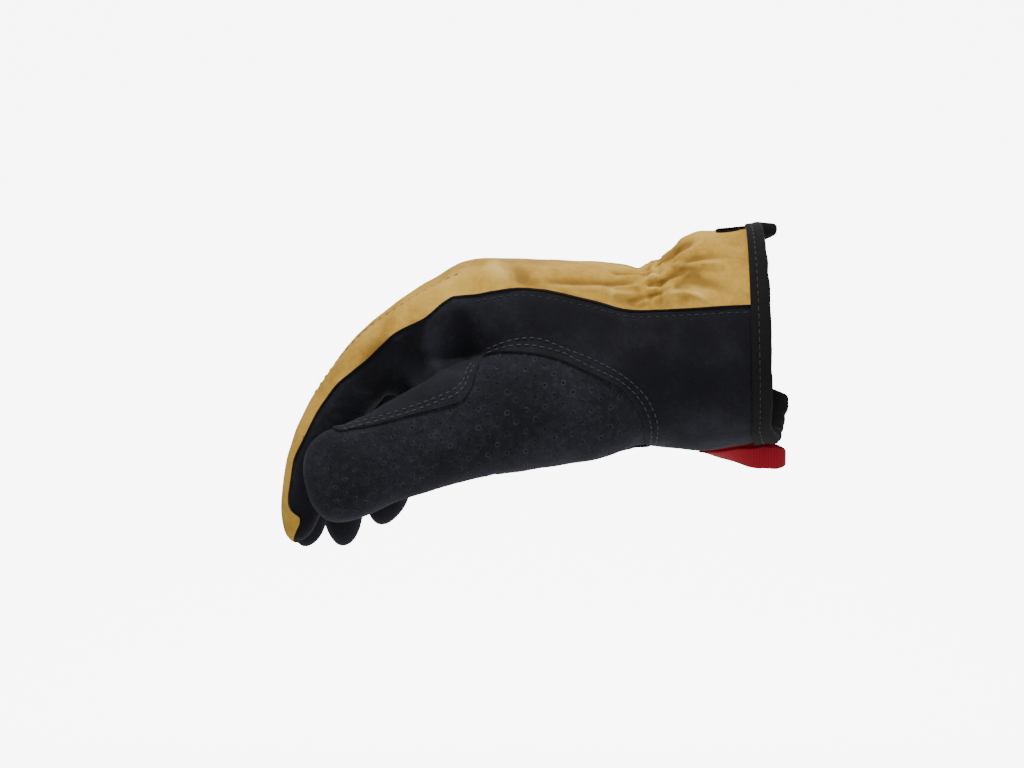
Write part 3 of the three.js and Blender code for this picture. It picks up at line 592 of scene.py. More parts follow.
def refined(p, faces, longest):
    """Edges over their longest length halved, with longest a function of the edge's middle."""
    a, b = faces[:, [0, 1, 2]].ravel(), faces[:, [1, 2, 0]].ravel()
    lo, hi = np.minimum(a, b), np.maximum(a, b)
    keys, inverse = np.unique(lo.astype(np.int64) * len(p) + hi, return_inverse=True)
    lo, hi = keys // len(p), keys % len(p)
    middle = (p[lo] + p[hi]) / 2
    halve = np.linalg.norm(p[lo] - p[hi], axis=1) > longest(middle)
    number = np.full(len(keys), -1)
    number[halve] = len(p) + np.arange(halve.sum())
    new = number[inverse.ravel()].reshape(-1, 3)
    split = new >= 0
    count = split.sum(1)
    out = [faces[count == 0]]
    every = count == 3
    f, m = faces[every], new[every]
    out += [np.stack([f[:, 0], m[:, 0], m[:, 2]], 1), np.stack([m[:, 0], f[:, 1], m[:, 1]], 1),
            np.stack([m[:, 2], m[:, 1], f[:, 2]], 1), m]
    for turn in range(3):
        f = np.roll(faces, -turn, axis=1)
        m = np.roll(new, -turn, axis=1)
        s = np.roll(split, -turn, axis=1)
        one = (count == 1) & s[:, 0]
        out.append(np.stack([f[one, 0], m[one, 0], f[one, 2]], 1))
        out.append(np.stack([m[one, 0], f[one, 1], f[one, 2]], 1))
        two = (count == 2) & s[:, 0] & s[:, 2]
        out.append(np.stack([f[two, 0], m[two, 0], m[two, 2]], 1))
        out.append(np.stack([m[two, 0], f[two, 1], f[two, 2]], 1))
        out.append(np.stack([m[two, 0], f[two, 2], m[two, 2]], 1))
    return np.concatenate([p, middle[halve]]), np.concatenate(out)


def centre(p, faces):
    return p[faces].mean(1)


skin = triangles(quads)


def seam_cut(p, faces, test, chosen_faces, chosen_points, reach=0.3):
    g = test(p)
    p, g = slid(p, g, test, reach, chosen_points)
    return cut(p, faces, g, chosen_faces)


form, skin = seam_cut(form, skin, in_cuff, np.ones(len(skin), bool), form[:, 0] > -3)
skin = skin[in_cuff(centre(form, skin)) > 0]
form, skin = seam_cut(form, skin, in_back, np.ones(len(skin), bool), np.ones(len(form), bool))
low = in_back(centre(form, skin)) < 0
form, skin = seam_cut(form, skin, in_perforated, low, in_back(form) < -1)
middles = centre(form, skin)
low = (in_back(middles) < 0) & (in_perforated(middles) < 0)
form, skin = seam_cut(form, skin, on_thumb, low & (middles[:, 0] < -100),
                      (in_back(form) < -1) & (in_perforated(form) < -1))
for i in range(3):
    middles = centre(form, skin)
    low = (in_back(middles) < 0) & (in_perforated(middles) < 0) & (middles[:, 0] < -100)
    form, skin = seam_cut(form, skin, lambda p: in_strip(p, i), low,
                          (in_back(form) < -1) & (form[:, 0] < -100))

# The leathers' kinds
PALM, PERFORATED, PLAIN_THUMB, TAN = 0, 1, 2, 6
STRIPS = (3, 4, 5)

middles = centre(form, skin)
label = np.full(len(skin), PALM)
for i in range(3):
    label[in_strip(middles, i) > 0] = STRIPS[i]
label[on_thumb(middles) > 0] = PLAIN_THUMB
label[in_perforated(middles) > 0] = PERFORATED
label[in_back(middles) > 0] = TAN


def waves(p, scale, seed, count=9):
    """Smooth unevenness of about unit size, with humps about scale apart."""
    r = np.random.default_rng(seed)
    total = np.zeros(len(p))
    for _ in range(count):
        d = r.normal(size=3)
        d *= r.uniform(0.7, 1.4) / (np.linalg.norm(d) * scale) * 2 * math.pi
        total += np.sin(p @ d + r.uniform(0, 2 * math.pi))
    return total / math.sqrt(count)


def near_line(p, pixels, width, narrow_ends=True):
    """How near points are to a line in the side view, from 0 to 1."""
    line = np.array([side(*q) for q in pixels])
    q = p[:, [0, 2]]
    best = np.full(len(p), 1e9)
    where = np.zeros(len(p))
    run = np.concatenate([[0], np.cumsum(np.hypot(*np.diff(line, axis=0).T))])
    for i in range(len(line) - 1):
        d = line[i + 1] - line[i]
        t = np.clip(((q - line[i]) @ d) / (d @ d), 0, 1)
        away = np.hypot(*(q - line[i] - t[:, None] * d).T)
        closer = away < best
        best = np.where(closer, away, best)
        where = np.where(closer, (run[i] + t * math.sqrt(d @ d)) / run[-1], where)
    strength = np.sin(np.clip(where, 0.0, 1.0) * math.pi) ** 0.6 if narrow_ends else 1.0
    return np.exp(-((best / width) ** 2)) * strength


# Folds seen in the side view: pixels, width in mm, depth in mm (below zero stands out)
FOLDS = [
    (((648.3, 266.0), (657.8, 261.7), (666.4, 257.4), (670.2, 252.2)), 1.0, -0.7),
    (((646.6, 270.6), (656.0, 267.2), (666.4, 262.7), (680.2, 254.8), (693.9, 247.0), (703.4, 241.5)),
     1.3, -1.2),
    (((643.1, 276.1), (652.6, 272.7), (662.9, 269.6), (675.0, 266.1), (692.2, 265.3), (726.6, 264.1)),
     1.3, -1.1),
    (((638.8, 285.8), (649.2, 280.9), (657.8, 277.8), (666.4, 272.3), (670.2, 269.9)), 1.0, -1.1),
    (((660.9, 288.4), (669.8, 282.3), (680.2, 276.3), (687.4, 271.6)), 1.1, -1.1),
    (((653.5, 291.3), (666.4, 289.2), (672.4, 287.1)), 1.0, -0.7),
    (((643.1, 303.9), (656.0, 297.1), (666.4, 293.7), (680.2, 292.7), (695.7, 296.1), (706.8, 303.9)),
     1.3, -1.1),
    (((616.4, 268.2), (626.8, 270.3), (640.5, 271.3), (647.8, 270.3)), 1.1, -0.9),
    (((617.3, 274.1), (625.0, 277.2), (637.1, 277.3), (648.3, 279.9), (656.9, 278.5)), 1.0, -1.0),
    (((607.8, 288.4), (623.3, 288.4), (640.5, 287.7), (647.4, 289.2), (657.8, 289.2)), 1.0, -0.9),
    (((540.7, 287.8), (563.1, 287.8), (588.9, 287.1), (602.7, 288.5), (613.0, 293.7), (630.2, 294.7),
      (641.4, 299.2)),
     1.5, -1.2),
    (((632.8, 306.4), (640.5, 302.3), (648.3, 299.2)), 1.0, -0.8),
    (((638.8, 294.7), (650.9, 292.0), (663.8, 289.9)), 1.0, -0.9),
    (((606, 271), (623.3, 273.0), (636, 274.4), (652, 273.4)), 1.4, 0.8),
    (((540.7, 283.2), (571.7, 284.4), (602.7, 285.1), (626.8, 283.7), (638.8, 282.3)), 1.7, 1.5),
    (((600, 290.6), (613.0, 291.2), (627, 291.8), (645, 290.6)), 1.3, 0.7),
    (((661, 264), (671.5, 257.4), (683.6, 247.0), (698, 236)), 2.1, 0.8),
    (((654, 269), (671.5, 263.6), (688.8, 260.3), (709.4, 258.8), (737, 257)), 2.2, 0.75),
    (((650, 277.5), (663, 273.2), (684, 268.8), (706, 269.4), (728, 273)), 1.7, 0.8),
    (((668, 285), (680, 282), (695.7, 281.5), (712.9, 286.6), (728, 298)), 2.8, 0.9),
    (((636, 287), (657.8, 283.0), (667, 278.4), (678, 275.8), (698, 276.4)), 1.4, 0.8),
    (((636, 298), (647.4, 295.6), (657.8, 293.4), (672, 290.6), (690, 290.2)), 1.4, 0.8),
    (((612, 298.5), (630.2, 300.6), (643, 299.2)), 1.8, 0.6),
    (((510.0, 276.0), (530.3, 283.2), (542.4, 284.0)), 2.6, 0.7),
    (((482, 264), (500, 272), (516, 285)), 4.5, -0.7),
    (((500, 262), (516, 270), (530, 280)), 3.0, 0.7),
    (((422, 322), (416, 350), (421, 384)), 4.0, 1.5),
    (((457, 312), (467, 338), (461, 360)), 3.6, 1.4),
    (((438, 327), (433, 353), (438, 376)), 4.0, -1.1),
    (((478, 306), (486, 326), (484, 342)), 3.6, -0.5),
    (((395, 340), (380, 365), (372, 395)), 6.0, 1.4),
    (((630, 447), (645, 440), (660, 447)), 2.2, 0.5),
    (((655, 352), (690, 340), (730, 345)), 7.0, 0.7),
    (((660, 395), (700, 385), (740, 392)), 8.0, 0.6),
    (((560, 310), (600, 322), (650, 326)), 6.0, 0.5),
]

GATHER_X = side(653, 0)[0]


def crease(phase, sharp):
    """Narrow ridges between broad hollows, from 0 to -1."""
    return (0.5 - 0.5 * np.cos(phase)) ** sharp - 1


def gathers(p):
    """Gathers over the wrist elastic: fine at its line, fewer and wider away from it."""
    angle = hand_angle(p)
    away = p[:, 0] - GATHER_X
    jitter = 0.05 * waves(p * np.array([0.3, 1, 1]), 17, 11)
    side_jitter = 0.07 * waves(p + np.where(away > 0, 40.0, 0.0)[:, None], 22, 12)
    over = smooth((np.sin(angle) - 0.05) * 5)
    kink = np.tanh(away / 2.4)
    right = np.where(away > 0, 1.3, 1.0)
    fine = crease(58 * (angle + jitter) + 1.7 * kink, 1.6) * np.exp(-((away / (5.5 * right)) ** 2))
    mid = crease(29 * (angle + 1.3 * jitter + 0.5 * side_jitter) - 1.3 * kink + 0.6, 2.2)
    mid = mid * np.exp(-((away / (10.5 * right)) ** 2))
    wide = crease(14.5 * (angle + 1.5 * jitter + side_jitter) + 0.9 * kink + 1.7, 2.4)
    wide = wide * np.exp(-(((np.abs(away) - 8) / (11 * right)) ** 2))
    puffs = 0.4 * waves(p, 9, 14) * np.exp(-((away / 20) ** 2))
    rows = 0.35 * np.exp(-(((away - 2.0) / 0.8) ** 2)) + 0.35 * np.exp(-(((away + 2.0) / 0.8) ** 2))
    depth = 0.95 * fine + 1.35 * mid + 1.4 * wide + 0.75
    drawn = smooth((-p[:, 1] - 8) / 8)
    return (depth * (1 - 0.6 * drawn) + puffs * 0.6 - rows) * over * np.exp(-((away / 30) ** 4))


def folds(p):
    facing = smooth((-p[:, 1] - 4) / 10)
    total = np.zeros(len(p))
    for pixels, width, depth in FOLDS:
        total -= 1.3 * depth * near_line(p, pixels, width)
    return total * facing


def far_folds(p):
    """The little finger's side, which the photograph doesn't show, creases as the near side does."""
    x, y, z = p.T
    facing = smooth((y - 4) / 10)
    total = np.zeros(len(p))
    for x0, z0, x1, z1, width, depth in (
        (-96, 26, -52, 18, 2.6, 1.0), (-88, 18, -50, 13, 2.4, 0.8), (-105, 6, -100, -12, 4.0, 1.2),
        (-92, 2, -60, -6, 7.0, 0.6), (-114, 4, -110, -10, 3.4, 0.9), (-40, -6, -12, -12, 7.0, 0.6),
    ):
        d = np.array([x1 - x0, z1 - z0])
        q = np.stack([x - x0, z - z0], 1)
        t = np.clip(q @ d / (d @ d), 0, 1)
        away = np.hypot(*(q - t[:, None] * d).T)
        total -= depth * np.exp(-((away / width) ** 2)) * np.sin(t * math.pi) ** 0.5
    return total * facing


def palm_creases(p, normal):
    """Cross creases where the palm and the fingers bend."""
    under = smooth(-normal[:, 2] * 1.4)
    total = np.zeros(len(p))
    for f in fingers:
        share, rise = f.place(p[:, 0], p[:, 2])
        mine = (np.abs(p[:, 1] - f.y) < FINGER_PITCH / 2 + 0.5) & (rise < 0)
        wobble = 0.006 * waves(p, 7, 40)
        for spot, depth in ((0.33, 1.0), (0.36, 0.5), (0.62, 1.0), (0.65, 0.5)):
            total -= np.where(mine, depth * 0.4 * np.exp(-(((share + wobble - spot) / 0.013) ** 2)), 0)
    x = p[:, 0] + 1.5 * waves(p, 24, 41)
    here = under * smooth((p[:, 1] + 12) / 10) * smooth((40 - p[:, 1]) / 8)
    for spot, width, depth in ((-88, 3.2, 0.4), (-104, 3.0, 0.35), (-60, 3.6, 0.4), (-44, 3.0, 0.35)):
        total -= here * depth * np.exp(-(((x - spot) / width) ** 2))
    return total


def outward(p, kind):
    """How far a point of a panel stands out from the smooth form."""
    normal = gradient(p)
    normal /= np.linalg.norm(normal, axis=1)[:, None]
    back = in_back(p)
    perforated = in_perforated(p)
    d = gathers(p) * smooth((back + 2.0) / 4) + folds(p) + far_folds(p) + palm_creases(p, normal)
    # The folds' depth, kept to drive the painted shade and painted highlight in the suede's colour.
    relief = d.copy()
    d += 0.22 * waves(p, 26, 3) + 0.10 * waves(p, 11, 4)
    edge = np.exp(-((back / 1.6) ** 2))
    if kind == TAN:
        d += 0.42 * edge + 0.1
        d -= 0.35 * np.exp(-(((back - 2.2) / 1.2) ** 2)) * 0.3
    else:
        d -= 0.55 * edge
        d -= 0.25 * np.exp(-(((back + 2.7) / 0.7) ** 2)) * smooth((p[:, 0] + 112) / 6)
    if kind == PERFORATED:
        d -= 0.35 * np.exp(-((perforated / 3.5) ** 2)) + 0.12
    elif kind in (PALM, PLAIN_THUMB):
        rise = np.exp(-((np.minimum(perforated, 0) / 5.5) ** 2))
        d += 0.55 * rise
        d -= (0.22 * np.exp(-(((perforated + 1.9) / 0.6) ** 2))
              + 0.2 * np.exp(-(((perforated + 4.3) / 0.6) ** 2)))
    if kind in (PALM, *STRIPS):
        for i in range(3):
            d -= 0.5 * np.exp(-((in_strip(p, i) / 0.9) ** 2)) * (p[:, 0] < -112)
    if kind in (PALM, PLAIN_THUMB):
        seam = on_thumb(p)
        d -= 0.4 * np.exp(-((seam / 1.1) ** 2)) * (p[:, 0] < -104)
    # Elastic and binding hold the cuff smooth.
    d *= smooth((6 - (p[:, 0] + BINDING_WIDTH)) / 6)
    return d, normal, relief


def fine_where(p):
    """Longest edge: short over the gathers, where the leather is finely creased."""
    angle = hand_angle(p)
    over = (np.sin(angle) > 0.0) & (np.abs(p[:, 0] - GATHER_X) < 24)
    return np.where(over, np.where(np.abs(p[:, 0] - GATHER_X) < 13, 0.72, 0.95), 9.0)


def compact(p, faces):
    used, inverse = np.unique(faces, return_inverse=True)
    return p[used], inverse.reshape(faces.shape)


def border_edges(faces):
    a, b = faces[:, [0, 1, 2]].ravel(), faces[:, [1, 2, 0]].ravel()
    n = faces.max() + 1
    keys = np.minimum(a, b).astype(np.int64) * n + np.maximum(a, b)
    _, first, count = np.unique(keys, return_index=True, return_counts=True)
    k = first[count == 1]
    return np.stack([a[k], b[k]], 1)


def mesh_object(name, p, faces, materials, face_material=None):
    mesh = bpy.data.meshes.new(name)
    mesh.from_pydata((np.asarray(p) * MM).tolist(), [], [list(map(int, f)) for f in faces])
    for m in materials:
        mesh.materials.append(m)
    if face_material is not None:
        mesh.polygons.foreach_set("material_index", np.asarray(face_material, np.int32))
    mesh.polygons.foreach_set("use_smooth", np.ones(len(mesh.polygons), bool))
    mesh.validate()
    mesh.update()
    obj = bpy.data.objects.new(name, mesh)
    bpy.context.scene.collection.objects.link(obj)
    return obj


# Materials
class Nodes:
    def __init__(self, name):
        self.material = bpy.data.materials.new(name)
        self.material.use_nodes = True
        self.tree = self.material.node_tree
        self.tree.nodes.clear()
        self.out = self.add("ShaderNodeOutputMaterial")
        self.shader = self.add("ShaderNodeBsdfPrincipled")
        self.join(self.shader.outputs[0], self.out.inputs[0])
        self.place = self.add("ShaderNodeTexCoord").outputs["Object"]

    def add(self, kind, **settings):
        node = self.tree.nodes.new(kind)
        for key, value in settings.items():
            setattr(node, key, value)
        return node

    def join(self, a, b):
        self.tree.links.new(a, b)

    def put(self, socket, value):
        if isinstance(value, bpy.types.NodeSocket):
            self.join(value, socket)
        else:
            socket.default_value = value

    def noise(self, scale, detail=4.0, rough=0.6, vector=None, distortion=0.0):
        n = self.add("ShaderNodeTexNoise")
        self.join(self.place if vector is None else vector, n.inputs["Vector"])
        n.inputs["Scale"].default_value = scale
        n.inputs["Detail"].default_value = detail
        n.inputs["Roughness"].default_value = rough
        n.inputs["Distortion"].default_value = distortion
        return n.outputs["Fac"]

    def math(self, operation, a, b=0.0, c=0.0):
        n = self.add("ShaderNodeMath", operation=operation)
        for socket, value in zip(n.inputs, (a, b, c)):
            self.put(socket, value)
        return n.outputs[0]

    def range(self, value, from_low, from_high, to_low, to_high):
        n = self.add("ShaderNodeMapRange", interpolation_type="SMOOTHSTEP")
        names = ("Value", "From Min", "From Max", "To Min", "To Max")
        for key, v in zip(names, (value, from_low, from_high, to_low, to_high)):
            self.put(n.inputs[key], v)
        return n.outputs["Result"]

    def ramp(self, value, stops):
        n = self.add("ShaderNodeValToRGB")
        self.put(n.inputs[0], value)
        while len(n.color_ramp.elements) > 2:
            n.color_ramp.elements.remove(n.color_ramp.elements[-1])
        for i, (at, colour) in enumerate(stops):
            e = n.color_ramp.elements[i] if i < 2 else n.color_ramp.elements.new(at)
            e.position = at
            e.color = (*colour, 1)
        return n.outputs["Color"]

    def blend(self, share, a, b, kind="MIX"):
        n = self.add("ShaderNodeMix", data_type="RGBA", blend_type=kind)
        self.put(n.inputs["Factor"], share)
        for socket, value in ((n.inputs["A"], a), (n.inputs["B"], b)):
            pass
        ins = [s for s in n.inputs if s.type == "RGBA"]
        self.put(ins[0], a if isinstance(a, bpy.types.NodeSocket) else (*a, 1))
        self.put(ins[1], b if isinstance(b, bpy.types.NodeSocket) else (*b, 1))
        return [s for s in n.outputs if s.type == "RGBA"][0]

    def bump(self, height, strength, distance, before=None):
        n = self.add("ShaderNodeBump")
        n.inputs["Strength"].default_value = strength
        n.inputs["Distance"].default_value = distance
        self.join(height, n.inputs["Height"])
        if before is not None:
            self.join(before, n.inputs["Normal"])
        return n.outputs["Normal"]

    def finish(self, colour, roughness, normal, sheen=0.0, sheen_rough=0.5, tint=(1, 1, 1), specular=0.3):
        s = self.shader
        self.put(s.inputs["Base Color"], colour if isinstance(colour, bpy.types.NodeSocket) else (*colour, 1))
        self.put(s.inputs["Roughness"], roughness)
        s.inputs["Specular IOR Level"].default_value = specular
        s.inputs["Sheen Weight"].default_value = sheen
        s.inputs["Sheen Roughness"].default_value = sheen_rough
        s.inputs["Sheen Tint"].default_value = (*tint, 1)
        self.join(normal, s.inputs["Normal"])
        return self.material


def suede(name, stops, mottle, nap, bump, sheen, tint, specular=0.2, painted_fold_shading=None):
    n = Nodes(name)
    broad = n.noise(38, 5, 0.62)
    fine = n.noise(420, 4, 0.7)
    hair = n.noise(1500, 3, 0.7)
    mix = n.math("MULTIPLY_ADD", n.math("SUBTRACT", broad, 0.5), mottle, 0.5)
    mix = n.math("ADD", mix, n.math("MULTIPLY", n.math("SUBTRACT", fine, 0.5), nap))
    mix = n.math("ADD", mix, n.math("MULTIPLY", n.math("SUBTRACT", hair, 0.5), nap * 0.7))
    colour = n.ramp(mix, stops)
    if painted_fold_shading is not None:
        # Painted shade darkens the leather down in its gathers and folds, and a painted highlight lightens it
        # along their tops.
        relief = n.add("ShaderNodeAttribute", attribute_name="relief").outputs["Fac"]
        colour = n.blend(n.range(relief, 0.0, -1.25, 0.0, painted_fold_shading[0]), colour, painted_fold_shading[1])
        colour = n.blend(n.range(relief, 0.2, 1.3, 0.0, painted_fold_shading[2]), colour, painted_fold_shading[3])
    first = n.bump(hair, 0.35, 0.0002)
    second = n.bump(fine, bump, 0.0004, first)
    third = n.bump(broad, bump * 0.5, 0.0015, second)
    rough = n.range(fine, 0.3, 0.7, 0.82, 0.98)
    return n.finish(colour, rough, third, sheen, 0.55, tint, specular)


# The last tuple gives the painted shade in the folds and the painted highlight on their tops.
tan = suede("tan suede", [(0.0, (0.18, 0.088, 0.011)), (0.36, (0.315, 0.174, 0.024)),
                         (0.5, (0.395, 0.23, 0.036)), (0.66, (0.455, 0.277, 0.05)),
                         (1.0, (0.56, 0.365, 0.085))],
            1.25, 0.5, 0.3, 0.06, (1.0, 0.8, 0.45), 0.12, (0.8, (0.15, 0.07, 0.01), 0.7, (0.62, 0.42, 0.125)))
# The last tuple gives the painted shade in the folds and the painted highlight on their tops.
black = suede("black suede", [(0.0, (0.002, 0.002, 0.003)), (0.4, (0.0045, 0.0045, 0.0062)),
                              (0.55, (0.0075, 0.0075, 0.0105)),
                             (0.75, (0.013, 0.013, 0.018)), (1.0, (0.026, 0.026, 0.034))],
              1.2, 0.7, 0.4, 0.05, (0.55, 0.57, 0.8), 0.12,
              (0.6, (0.003, 0.003, 0.0042), 0.5, (0.019, 0.019, 0.026)))


def perforated_leather():
    n = Nodes("perforated leather")
    broad = n.noise(38, 5, 0.62)
    fine = n.noise(420, 4, 0.7)
    hair = n.noise(1500, 3, 0.7)
    mix = n.math("MULTIPLY_ADD", n.math("SUBTRACT", broad, 0.5), 0.9, 0.52)
    mix = n.math("ADD", mix, n.math("MULTIPLY", n.math("SUBTRACT", fine, 0.5), 1.3))
    mix = n.math("ADD", mix, n.math("MULTIPLY", n.math("SUBTRACT", hair, 0.5), 0.8))
    colour = n.ramp(mix, [(0.0, (0.0025, 0.0025, 0.0035)), (0.4, (0.0052, 0.0052, 0.0072)),
                          (0.55, (0.0085, 0.0085, 0.0118)),
                          (0.75, (0.014, 0.014, 0.0195)), (1.0, (0.026, 0.026, 0.034))])
    uv = n.add("ShaderNodeUVMap", uv_map="lattice").outputs["UV"]
    split = n.add("ShaderNodeSeparateXYZ")
    n.join(uv, split.inputs[0])

    def spots(shift):
        u = n.math("SUBTRACT", n.math("FRACT", n.math("ADD", split.outputs[0], shift)), 0.5)
        v = n.math("SUBTRACT", n.math("FRACT", n.math("ADD", split.outputs[1], shift)), 0.5)
        return n.math("SQRT", n.math("ADD", n.math("MULTIPLY", u, u), n.math("MULTIPLY", v, v)))

    away = n.math("MINIMUM", spots(0.0), spots(0.5))
    wobble = n.math("MULTIPLY", n.math("SUBTRACT", n.noise(700, 2, 0.5), 0.5), 0.05)
    away = n.math("ADD", away, wobble)
    hole = n.range(away, 0.04, 0.09, 1.0, 0.0)
    rim = n.math("MULTIPLY", n.range(away, 0.07, 0.11, 0.0, 1.0), n.range(away, 0.11, 0.17, 1.0, 0.0))
    # Painted highlight on the holes' rims, in patches.
    lit = n.range(n.noise(200, 3, 0.6), 0.42, 0.7, 0.0, 0.7)
    colour = n.blend(n.math("MULTIPLY", rim, lit), colour, (0.035, 0.035, 0.044))
    # The holes are not cut: painted shade stands in for their dark insides, in patches.
    dark = n.range(n.noise(240, 2, 0.5), 0.35, 0.65, 0.35, 0.9)
    colour = n.blend(n.math("MULTIPLY", hole, dark), colour, (0.002, 0.002, 0.0025))
    first = n.bump(hair, 0.35, 0.0002)
    second = n.bump(fine, 0.35, 0.0004, first)
    dimple = n.math("SUBTRACT", n.math("MULTIPLY", rim, 0.25), hole)
    third = n.bump(dimple, 0.7, 0.0005, second)
    return n.finish(colour, n.range(fine, 0.3, 0.7, 0.82, 0.98), third, 0.05, 0.55, (0.55, 0.57, 0.8), 0.12)


def woven(name, dark, light, pitch, along, sheen, tint):
    """Narrow woven tape: fine ribs across, and threads along."""
    n = Nodes(name)
    uv = n.add("ShaderNodeUVMap", uv_map="weave").outputs["UV"]
    split = n.add("ShaderNodeSeparateXYZ")
    n.join(uv, split.inputs[0])
    ribs = n.math("SINE", n.math("MULTIPLY", split.outputs[0], 2 * math.pi / pitch))
    threads = n.math("SINE", n.math("MULTIPLY", split.outputs[1], 2 * math.pi / along))
    crossed = n.math("MULTIPLY", n.math("MULTIPLY", ribs, threads), 0.5)
    weave = n.math("ADD", n.math("MULTIPLY", ribs, 0.5), crossed)
    height = n.range(weave, -1.0, 1.0, 0.0, 1.0)
    fuzz = n.noise(900, 3, 0.7)
    broad = n.noise(60, 4, 0.6)
    mix = n.math("ADD", n.math("MULTIPLY", height, 0.45), n.math("MULTIPLY", fuzz, 0.3))
    mix = n.math("ADD", mix, n.math("MULTIPLY", broad, 0.3))
    colour = n.blend(mix, dark, light)
    first = n.bump(fuzz, 0.4, 0.0002)
    second = n.bump(height, 0.35, 0.0002, first)
    return n.finish(colour, n.range(fuzz, 0.3, 0.7, 0.8, 0.97), second, sheen, 0.5, tint, 0.12)


def thread_material(name, low, high):
    n = Nodes(name)
    twist = n.add("ShaderNodeTexWave", wave_type="BANDS", bands_direction="DIAGONAL")
    n.join(n.place, twist.inputs["Vector"])
    twist.inputs["Scale"].default_value = 900
    twist.inputs["Distortion"].default_value = 2
    colour = n.blend(twist.outputs["Fac"], low, high)
    roughness = n.range(n.noise(600), 0.3, 0.7, 0.55, 0.75)
    return n.finish(colour, roughness, n.bump(twist.outputs["Fac"], 0.4, 0.0001), 0.1, 0.5, (1, 1, 1), 0.35)


def cut_edge(name, low, high):
    n = Nodes(name)
    fibre = n.noise(1300, 4, 0.7)
    colour = n.blend(fibre, low, high)
    roughness = n.range(fibre, 0.3, 0.7, 0.8, 0.97)
    return n.finish(colour, roughness, n.bump(fibre, 0.5, 0.0002), 0.05, 0.5, (1, 1, 1), 0.2)


perforated = perforated_leather()
tape = woven("black tape", (0.002, 0.002, 0.0023), (0.0085, 0.0085, 0.0095), 0.0007, 0.0008, 0.02,
             (0.6, 0.6, 0.7))
webbing = woven("red webbing", (0.11, 0.002, 0.005), (0.31, 0.009, 0.02), 0.0011, 0.0009, 0.1, (1, 0.5, 0.5))
thread = thread_material("grey thread", (0.012, 0.012, 0.016), (0.034, 0.034, 0.043))
black_thread = thread_material("black thread", (0.005, 0.005, 0.0065), (0.013, 0.013, 0.0165))
brown_edge = cut_edge("dark cut edge", (0.018, 0.011, 0.006), (0.05, 0.032, 0.018))
black_edge = cut_edge("black cut edge", (0.004, 0.004, 0.005), (0.014, 0.014, 0.018))
inside_material = suede("raw inside", [(0.0, (0.025, 0.025, 0.028)), (0.4, (0.045, 0.045, 0.05)),
                                       (0.55, (0.06, 0.06, 0.066)), (0.75, (0.08, 0.08, 0.088)),
                                       (1.0, (0.12, 0.12, 0.13))],
                        1.0, 0.5, 0.4, 0.05, (1, 1, 1))

EDGE_DEPTH = 1.2
PANELS = {
    TAN: ("tan_back", "back_panel", "tan_suede", tan, brown_edge),
    PALM: ("black_palm", "palm_panel", "black_suede", black, black_edge),
    PERFORATED: ("perforated_thumb", "thumb_panel", "perforated_leather", perforated, black_edge),
    PLAIN_THUMB: ("plain_thumb", "thumb_back", "black_suede", black, black_edge),
    STRIPS[0]: ("finger_side_1", "fourchette_index_middle", "black_suede", black, black_edge),
    STRIPS[1]: ("finger_side_2", "fourchette_middle_ring", "black_suede", black, black_edge),
    STRIPS[2]: ("finger_side_3", "fourchette_ring_little", "black_suede", black, black_edge),
}
pieces = {}
all_points = []
all_faces = []
for kind, (name, node, slot, cover, edge) in PANELS.items():
    p, f = compact(form, skin[label == kind])
    if kind in (PALM, TAN):
        p, f = refined(p, f, fine_where)
        p = onto(p, 1)
    d, normal, relief = outward(p, kind)
    placed = p + normal * d[:, None]
    borders = border_edges(f)
    ring, where = np.unique(borders, return_inverse=True)
    where = where.reshape(borders.shape)
    n = len(placed)
    outer = placed[ring]
    inner = outer - normal[ring] * EDGE_DEPTH
    near, far = where[:, 0] + n, where[:, 1] + n
    rim = np.stack([far, near, near + len(ring), far + len(ring)], 1)
    points = np.concatenate([placed, outer, inner])
    faces = [*f, *rim]
    obj = mesh_object(name, points, faces, [cover, edge], [0] * len(f) + [1] * len(rim))
    # Fold depth per point, read by the suede materials for their painted shade and painted highlight.
    shade = obj.data.attributes.new("relief", "FLOAT", "POINT")
    shade.data.foreach_set("value", np.concatenate([relief, relief[ring], relief[ring]]).astype(np.float32))
    if kind == PERFORATED:
        x, y, z = p.T
        at, cy, cz = thumb_place(x)
        turn = np.arctan2((z - cz) / THUMB_HEIGHT, (y - cy) / THUMB_WIDTH)
        turn = np.where(turn > math.pi / 2, turn - 2 * math.pi, turn)
        pitch = 7.0
        u = -x / pitch
        v = -turn * 20.0 / pitch
        full = np.concatenate([np.stack([u, v], 1), np.stack([u, v], 1)[ring], np.stack([u, v], 1)[ring]])
        layer = obj.data.uv_layers.new(name="lattice")
        loops = np.empty(len(obj.data.loops), np.int32)
        obj.data.loops.foreach_get("vertex_index", loops)
        layer.data.foreach_set("uv", full[loops].ravel())
    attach(obj, "root")
    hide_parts(node)
    pieces[name] = obj
    all_faces.append(f + sum(len(q) for q in all_points))
    all_points.append(placed)

surface_points = np.concatenate(all_points)
surface_faces = np.concatenate(all_faces)
surface = BVHTree.FromPolygons(surface_points.tolist(), surface_faces.tolist())

# Inside wall, seen through the cuff
wall = grid_field()[::2, ::2, ::2] + (2.5 + 1.8 * smooth((-16 - xs[::2]) / 14))[:, None, None]
inner_points, inner_quads = surface_nets(wall, xs[::2], ys[::2], zs[::2])
keep = in_cuff(inner_points[inner_quads].mean(1)) > 2.2
inner_points, inner_quads = compact(inner_points, inner_quads[keep])
inner_points = relaxed(inner_points, inner_quads, 0.5)
lining = mesh_object("inside_wall", inner_points, inner_quads[:, ::-1], [inside_material])
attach(lining, "root")


